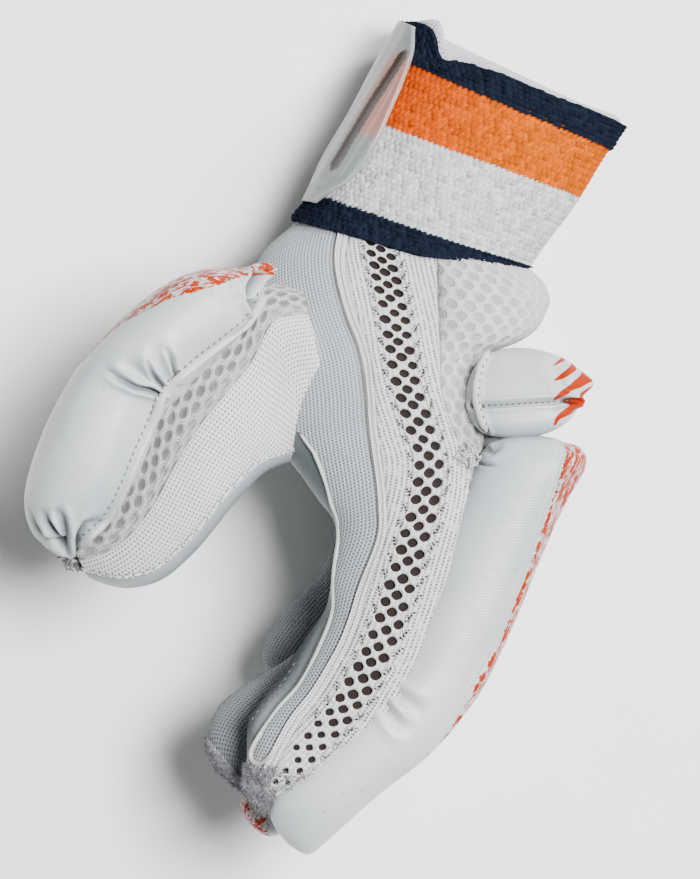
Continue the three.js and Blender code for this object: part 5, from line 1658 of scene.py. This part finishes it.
THUMB_PRINT_RIM = [(60, 385), (82, 366), (112, 334), (134, 319), (149, 312), (174, 299), (199, 293),
                   (219, 287), (239, 279), (262, 276)]
KNUCKLE_SEAM = [(480, 406), (500, 405), (530, 403), (566, 401)]
ROLL_SEAM = [(470, 488), (461, 514), (450, 545), (430, 600), (408, 655)]
KNUCKLE_WELT = [(489, 351), (480, 366), (476, 384), (475, 399), (479, 415), (486, 432)]
THUMB_WELT = [(264, 294), (259, 309), (249, 324), (228, 341), (206, 358), (184, 376), (167, 391), (162, 402),
              (152, 428), (141, 453), (131, 478), (120, 502), (108, 521), (92, 536), (79, 546)]
TONGUE = [(263, 729), (256, 740), (251, 750), (251, 758), (256, 763), (263, 762), (270, 755), (278, 744)]
TOWELLING_EDGE = [(240, 756), (250, 764), (258, 769), (270, 764), (300, 772)]
GATHER_BASE, GATHER_TIP, GATHER_HEIGHT = (84, 556), (64, 561), 97.8


def past_fold(x, y, room):
    """Whether pixels lie past the fold line of the forefinger's roll."""
    across, down = zip(*ROLL_FOLD)
    return x > np.interp(y, down, across) + room


def past_tongue(x, y):
    return y > np.interp(x, *zip(*TOWELLING_EDGE))


def build_pads():
    made = {}
    for name in FINGER_NAMES:
        size, block = PAD_FACES[name]
        roll = finger_form(ROLL_ROWS, name, PAD_POWER)
        made[f"{name}_roll"] = pad(f"{name}_roll_pad", roll, len(ROLL_ROWS[name]) - 1, PADDING_PRINT, size)
        made[f"{name}_knuckle"] = pad(f"{name}_knuckle_pad", knuckle(name), len(KNUCKLE_ROWS) - 1,
                                      KNUCKLE_PRINT, block)
    made["thumb_roll"] = pad("thumb_roll_pad", thumb_roll, len(THUMB_ROLL_ROWS) - 1, PADDING_PRINT,
                             THUMB_PAD_FACE)
    blow_up(list(made.values()))
    for node, obj in made.items():
        refine(obj, 3 if node in FINE_PADS else 2)
    fold_pads(made)
    print_pads(made)
    for node, obj in made.items():
        put(obj, [node])
    seam("knuckle_seam_thread", [made["index_knuckle"]], KNUCKLE_SEAM, 2.0, length=1.35, width=0.36)
    seam("index_edge_thread", [made["index_roll"]], ROLL_SEAM, 5.2)


def fold_pads(made):
    roll, block, thumb_pad = (made[node] for node in FINE_PADS)
    crease(roll, ROLL_CREASES, 84)
    crease(block, KNUCKLE_CREASES, 80)
    crease(thumb_pad, THUMB_CREASES, 70)
    gather(thumb_pad, (70, 549), 98, 12, 10, 0.9)
    gather(roll, (384, 692), 104, 5, 7, 0.35)
    pull(roll, (560, 458), (588, 459), 96, 5.0, 4.0)
    pull(block, (560, 384), (586, 383), 92, 4.0, 3.6)
    pull(thumb_pad, (240, 275), (266, 271), 98, 4.0, 3.4)


def print_pads(made):
    paint(made["index_roll"], lambda x, y: past_fold(x, y, 1) & (y < 762))
    paint(made["thumb_roll"], lambda x, y: y < np.interp(x, *zip(*THUMB_PRINT_RIM)))
    paint(made["middle_roll"], lambda x, y: (x < 268) & (y > 780) | past_fold(x, y, 1))
    for name in ("ring", "little"):
        paint(made[f"{name}_roll"], lambda x, y: past_fold(x, y, -8))
    for name in FINGER_NAMES:
        paint(made[f"{name}_knuckle"], lambda x, y: (x - 549) / 30)


# Thumb: the edges of its panels are shares across it at its rows
THUMB_MESH_EDGE = at_shares([0.1, 1, 2, 3, 4, 6, 8, 9.5], [0.16, 0.22, 0.33, 0.41, 0.45, 0.46, 0.46, 0.5])
THUMB_KNIT_EDGE = at_shares([0.1, 2, 5, 7, 8, 9.5], [0.95, 0.945, 0.925, 0.90, 0.86, 0.80])


def thumb_panel(name, lap0, lap1, step, rise, thick, relief, spine, from_end=False):
    return panel(name, thumb, THUMB_START, THUMB_END, lap0, lap1, step, rise, thick, relief, spine,
                 from_end=from_end)


def build_thumb():
    def cells(u, v, t, row, lap):
        edges = 0.5 * bell(t, 1, 0.03) + 0.4 * bell(row, 0, 0.9)
        return 0.3 * waves(u, v, 8) - 0.8 * cell_dip(u, v, 0.35) - edges

    def knit(u, v, t, row, lap):
        band = 0.35 * np.sin(u * TWO_PI / 2.0) * unit((1.9 - row) / 1.2) * (row > 0.35)
        edges = 0.8 * bell(t, 0.97, 0.018) - 0.5 * bell(t, 0, 0.02)
        base = 4.2 * bell(row, 0.1, 0.62) * unit(t * 5 - 0.2)
        return 0.4 * waves(u, v, 8) + edges + band + base

    def soft(u, v, t, row, lap):
        return 0.3 * waves(u, v, 8) + 0.9 * bell(lap, 1.9, 0.5)

    mesh = thumb_panel("thumb_mesh_sheet", at_lap(-0.9), THUMB_MESH_EDGE, (0.75, 0.75), 0, 1.5, cells, 0.5,
                       from_end=True)
    put(mesh, ["thumb_mesh"], [THUMB_MESH, INNER])
    cloth = thumb_panel("thumb_knit_sheet", THUMB_MESH_EDGE, THUMB_KNIT_EDGE, (0.7, 0.7), 0.2, 1.8, knit, 1.2)
    put(cloth, ["thumb_knit"], [THUMB_KNIT, INNER])
    palm = thumb_panel("thumb_palm_sheet", THUMB_KNIT_EDGE, at_lap(5.1), (1.2, 1.0), -0.3, CLOTH, soft, 3.0)
    put(palm, ["thumb_palm"], [THUMB_LEATHER, INNER])
    build_thumb_welt()
    for k, away in enumerate((-0.7, -2.0)):
        edge_thread(f"thumb_edge_thread_{k}", away)
    build_thumb_tip()


def build_thumb_welt():
    """The flange lies on whatever is highest under its line."""
    roll = pieces["thumb_roll_pad"]
    look = surface_at(roll, pieces["thumb_mesh_sheet"])
    places = track(THUMB_WELT)
    heights = [(hit[0][2] if hit else 98) + 0.1 for hit in (look(*place) for place in places)]
    welt = ribbon("thumb_welt_flange", THUMB_WELT, heights, 3.0, 2.6, lean=-0.15)
    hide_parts("thumb_welt")
    way = normed(np.gradient(places, axis=0))
    edge = places + np.stack([way[:, 1], -way[:, 0]], 1) * 1.75
    seam("thumb_welt_thread", [welt, roll], list(zip(*pixels_of(*edge.T))), 2.5, 1.5, 0.36)


def edge_thread(name, away):
    """Stitches on the thumb's knit, at a distance from its palm edge."""
    rows, _ = even_rows(thumb, 1.0, 8.9, 2.4, 1.8)
    skin = Skin(thumb, rows)
    lap = skin.lap((skin.dist(THUMB_KNIT_EDGE(skin)) + away)[:, None])[:, 0]
    p, above = (point(thumb(rows), lap, out) for out in (1.0, 2.0))
    stitches(name, zip(p, np.gradient(p, axis=0), above - p), THREAD_PALE, 1.6, 0.28)


def build_thumb_tip():
    """A small pinched corner that sticks out of the thumb's roll."""
    base, tip = (np.append(spot(*place), GATHER_HEIGHT) for place in (GATHER_BASE, GATHER_TIP))
    way = normed(tip - base)
    across = normed(np.cross(way, [0, 0, 1]))
    up = np.cross(across, way)
    w = TWO_PI * np.arange(28) / 28
    rings = []
    for t in np.arange(12) / 11:
        r = (3.6 * (1 - t) ** 0.8 + 0.35) * (1 + 0.16 * np.sin(7 * w + 2 * t) * (0.3 + t))
        ring = across * (np.cos(w) * r)[:, None] + up * (np.sin(w) * r * 0.6)[:, None]
        rings.append(base + (tip - base) * t + ring)
    obj = ring_form("thumb_tip_gather", np.stack(rings), np.arange(12.0), 0.5, PADDING)
    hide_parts("thumb_tip")


# Trims: the welt and knot at the knuckle, and the side knit's tongue with towelling past it
def build_trims():
    look = surface_at(pieces["index_knuckle_pad"])
    hits = [look(*spot(x + 5, y)) for x, y in KNUCKLE_WELT]
    welt = ribbon("knuckle_welt", KNUCKLE_WELT, [hit[0][2] - 0.6 if hit else 92 for hit in hits], 2.9, 4.0)
    thread = [(x + 2.5, y) for x, y in KNUCKLE_WELT]
    seam("knuckle_welt_thread", [welt], thread, 2.5, 1.3, 0.3)
    tangle("knot_threads", (467, 456), 101.3, 4.2, 34, THREAD_WHITE)
    tangle("thumb_tip_threads", (76, 556), 98.5, 5.2, 70, THREAD, 2.8, 0.34)
    cloths = [pieces[name] for name in ("side_knit_sheet", "rib_tape_strip", "net_sheet")]
    look = surface_at(*cloths, pieces["side_piping_cord"])
    hits = [look(*spot(*place)) for place in TONGUE]
    heights = np.array([hit[0][2] + 0.2 if hit else np.nan for hit in hits])
    heights[np.isnan(heights)] = np.nanmin(heights)
    ribbon("tongue_piping", TONGUE, heights, 1.5, 1.7, 0.6)
    for cloth, count in zip(cloths, (500, 500, 1100)):
        tufts(f"{cloth.name}_tufts", cloth, count, 1.0, where=past_tongue)


# Floor, light and camera, in metres
FLOOR_REACH = 3.0
SKY_STRENGTH = 0.22
LAMP_TARGET = (0, 0, 0.05)
SENSOR = 36
CAMERA_DISTANCE = 4000
CAMERA_PLACE = (-0.0075, -0.023, 4.078)


def build_floor():
    me = bpy.data.meshes.new("floor")
    corners = [(x * FLOOR_REACH, y * FLOOR_REACH, 0) for x, y in ((-1, -1), (1, -1), (1, 1), (-1, 1))]
    me.from_pydata(corners, [], [(0, 1, 2, 3)])
    me.materials.append(FLOOR_PAPER)
    floor = bpy.data.objects.new("floor", me)
    scene.collection.objects.link(floor)


def build_sky():
    world = bpy.data.worlds.new("studio")
    scene.world = world
    world.use_nodes = True
    colour, strength = world.node_tree.nodes["Background"].inputs[:2]
    colour.default_value = (1, 1, 1, 1)
    strength.default_value = SKY_STRENGTH


def lamp(name, place, size, power):
    data = bpy.data.lights.new(name, "AREA")
    data.size = size
    data.energy = power
    obj = bpy.data.objects.new(name, data)
    obj.location = place
    obj.rotation_euler = (Vector(LAMP_TARGET) - Vector(place)).to_track_quat("-Z", "Y").to_euler()
    scene.collection.objects.link(obj)


def build_camera():
    camera = bpy.data.cameras.new("camera")
    camera.lens = SENSOR * CAMERA_DISTANCE / (PHOTO_HEIGHT * PIXEL)
    camera.clip_end = 20
    eye = bpy.data.objects.new("camera", camera)
    eye.location = CAMERA_PLACE
    eye.rotation_euler = (0, 0, 0)
    scene.collection.objects.link(eye)
    scene.camera = eye


build_cuff()
build_strap()
build_side()
build_net()
build_back()
build_hand()
build_stalls()
build_pads()
build_thumb()
build_trims()
build_floor()
build_sky()
lamp("key", (1.5, 0.4, 4.5), 1.5, 600)
lamp("side", (1.7, 1.3, 1.3), 0.5, 60)
build_camera()
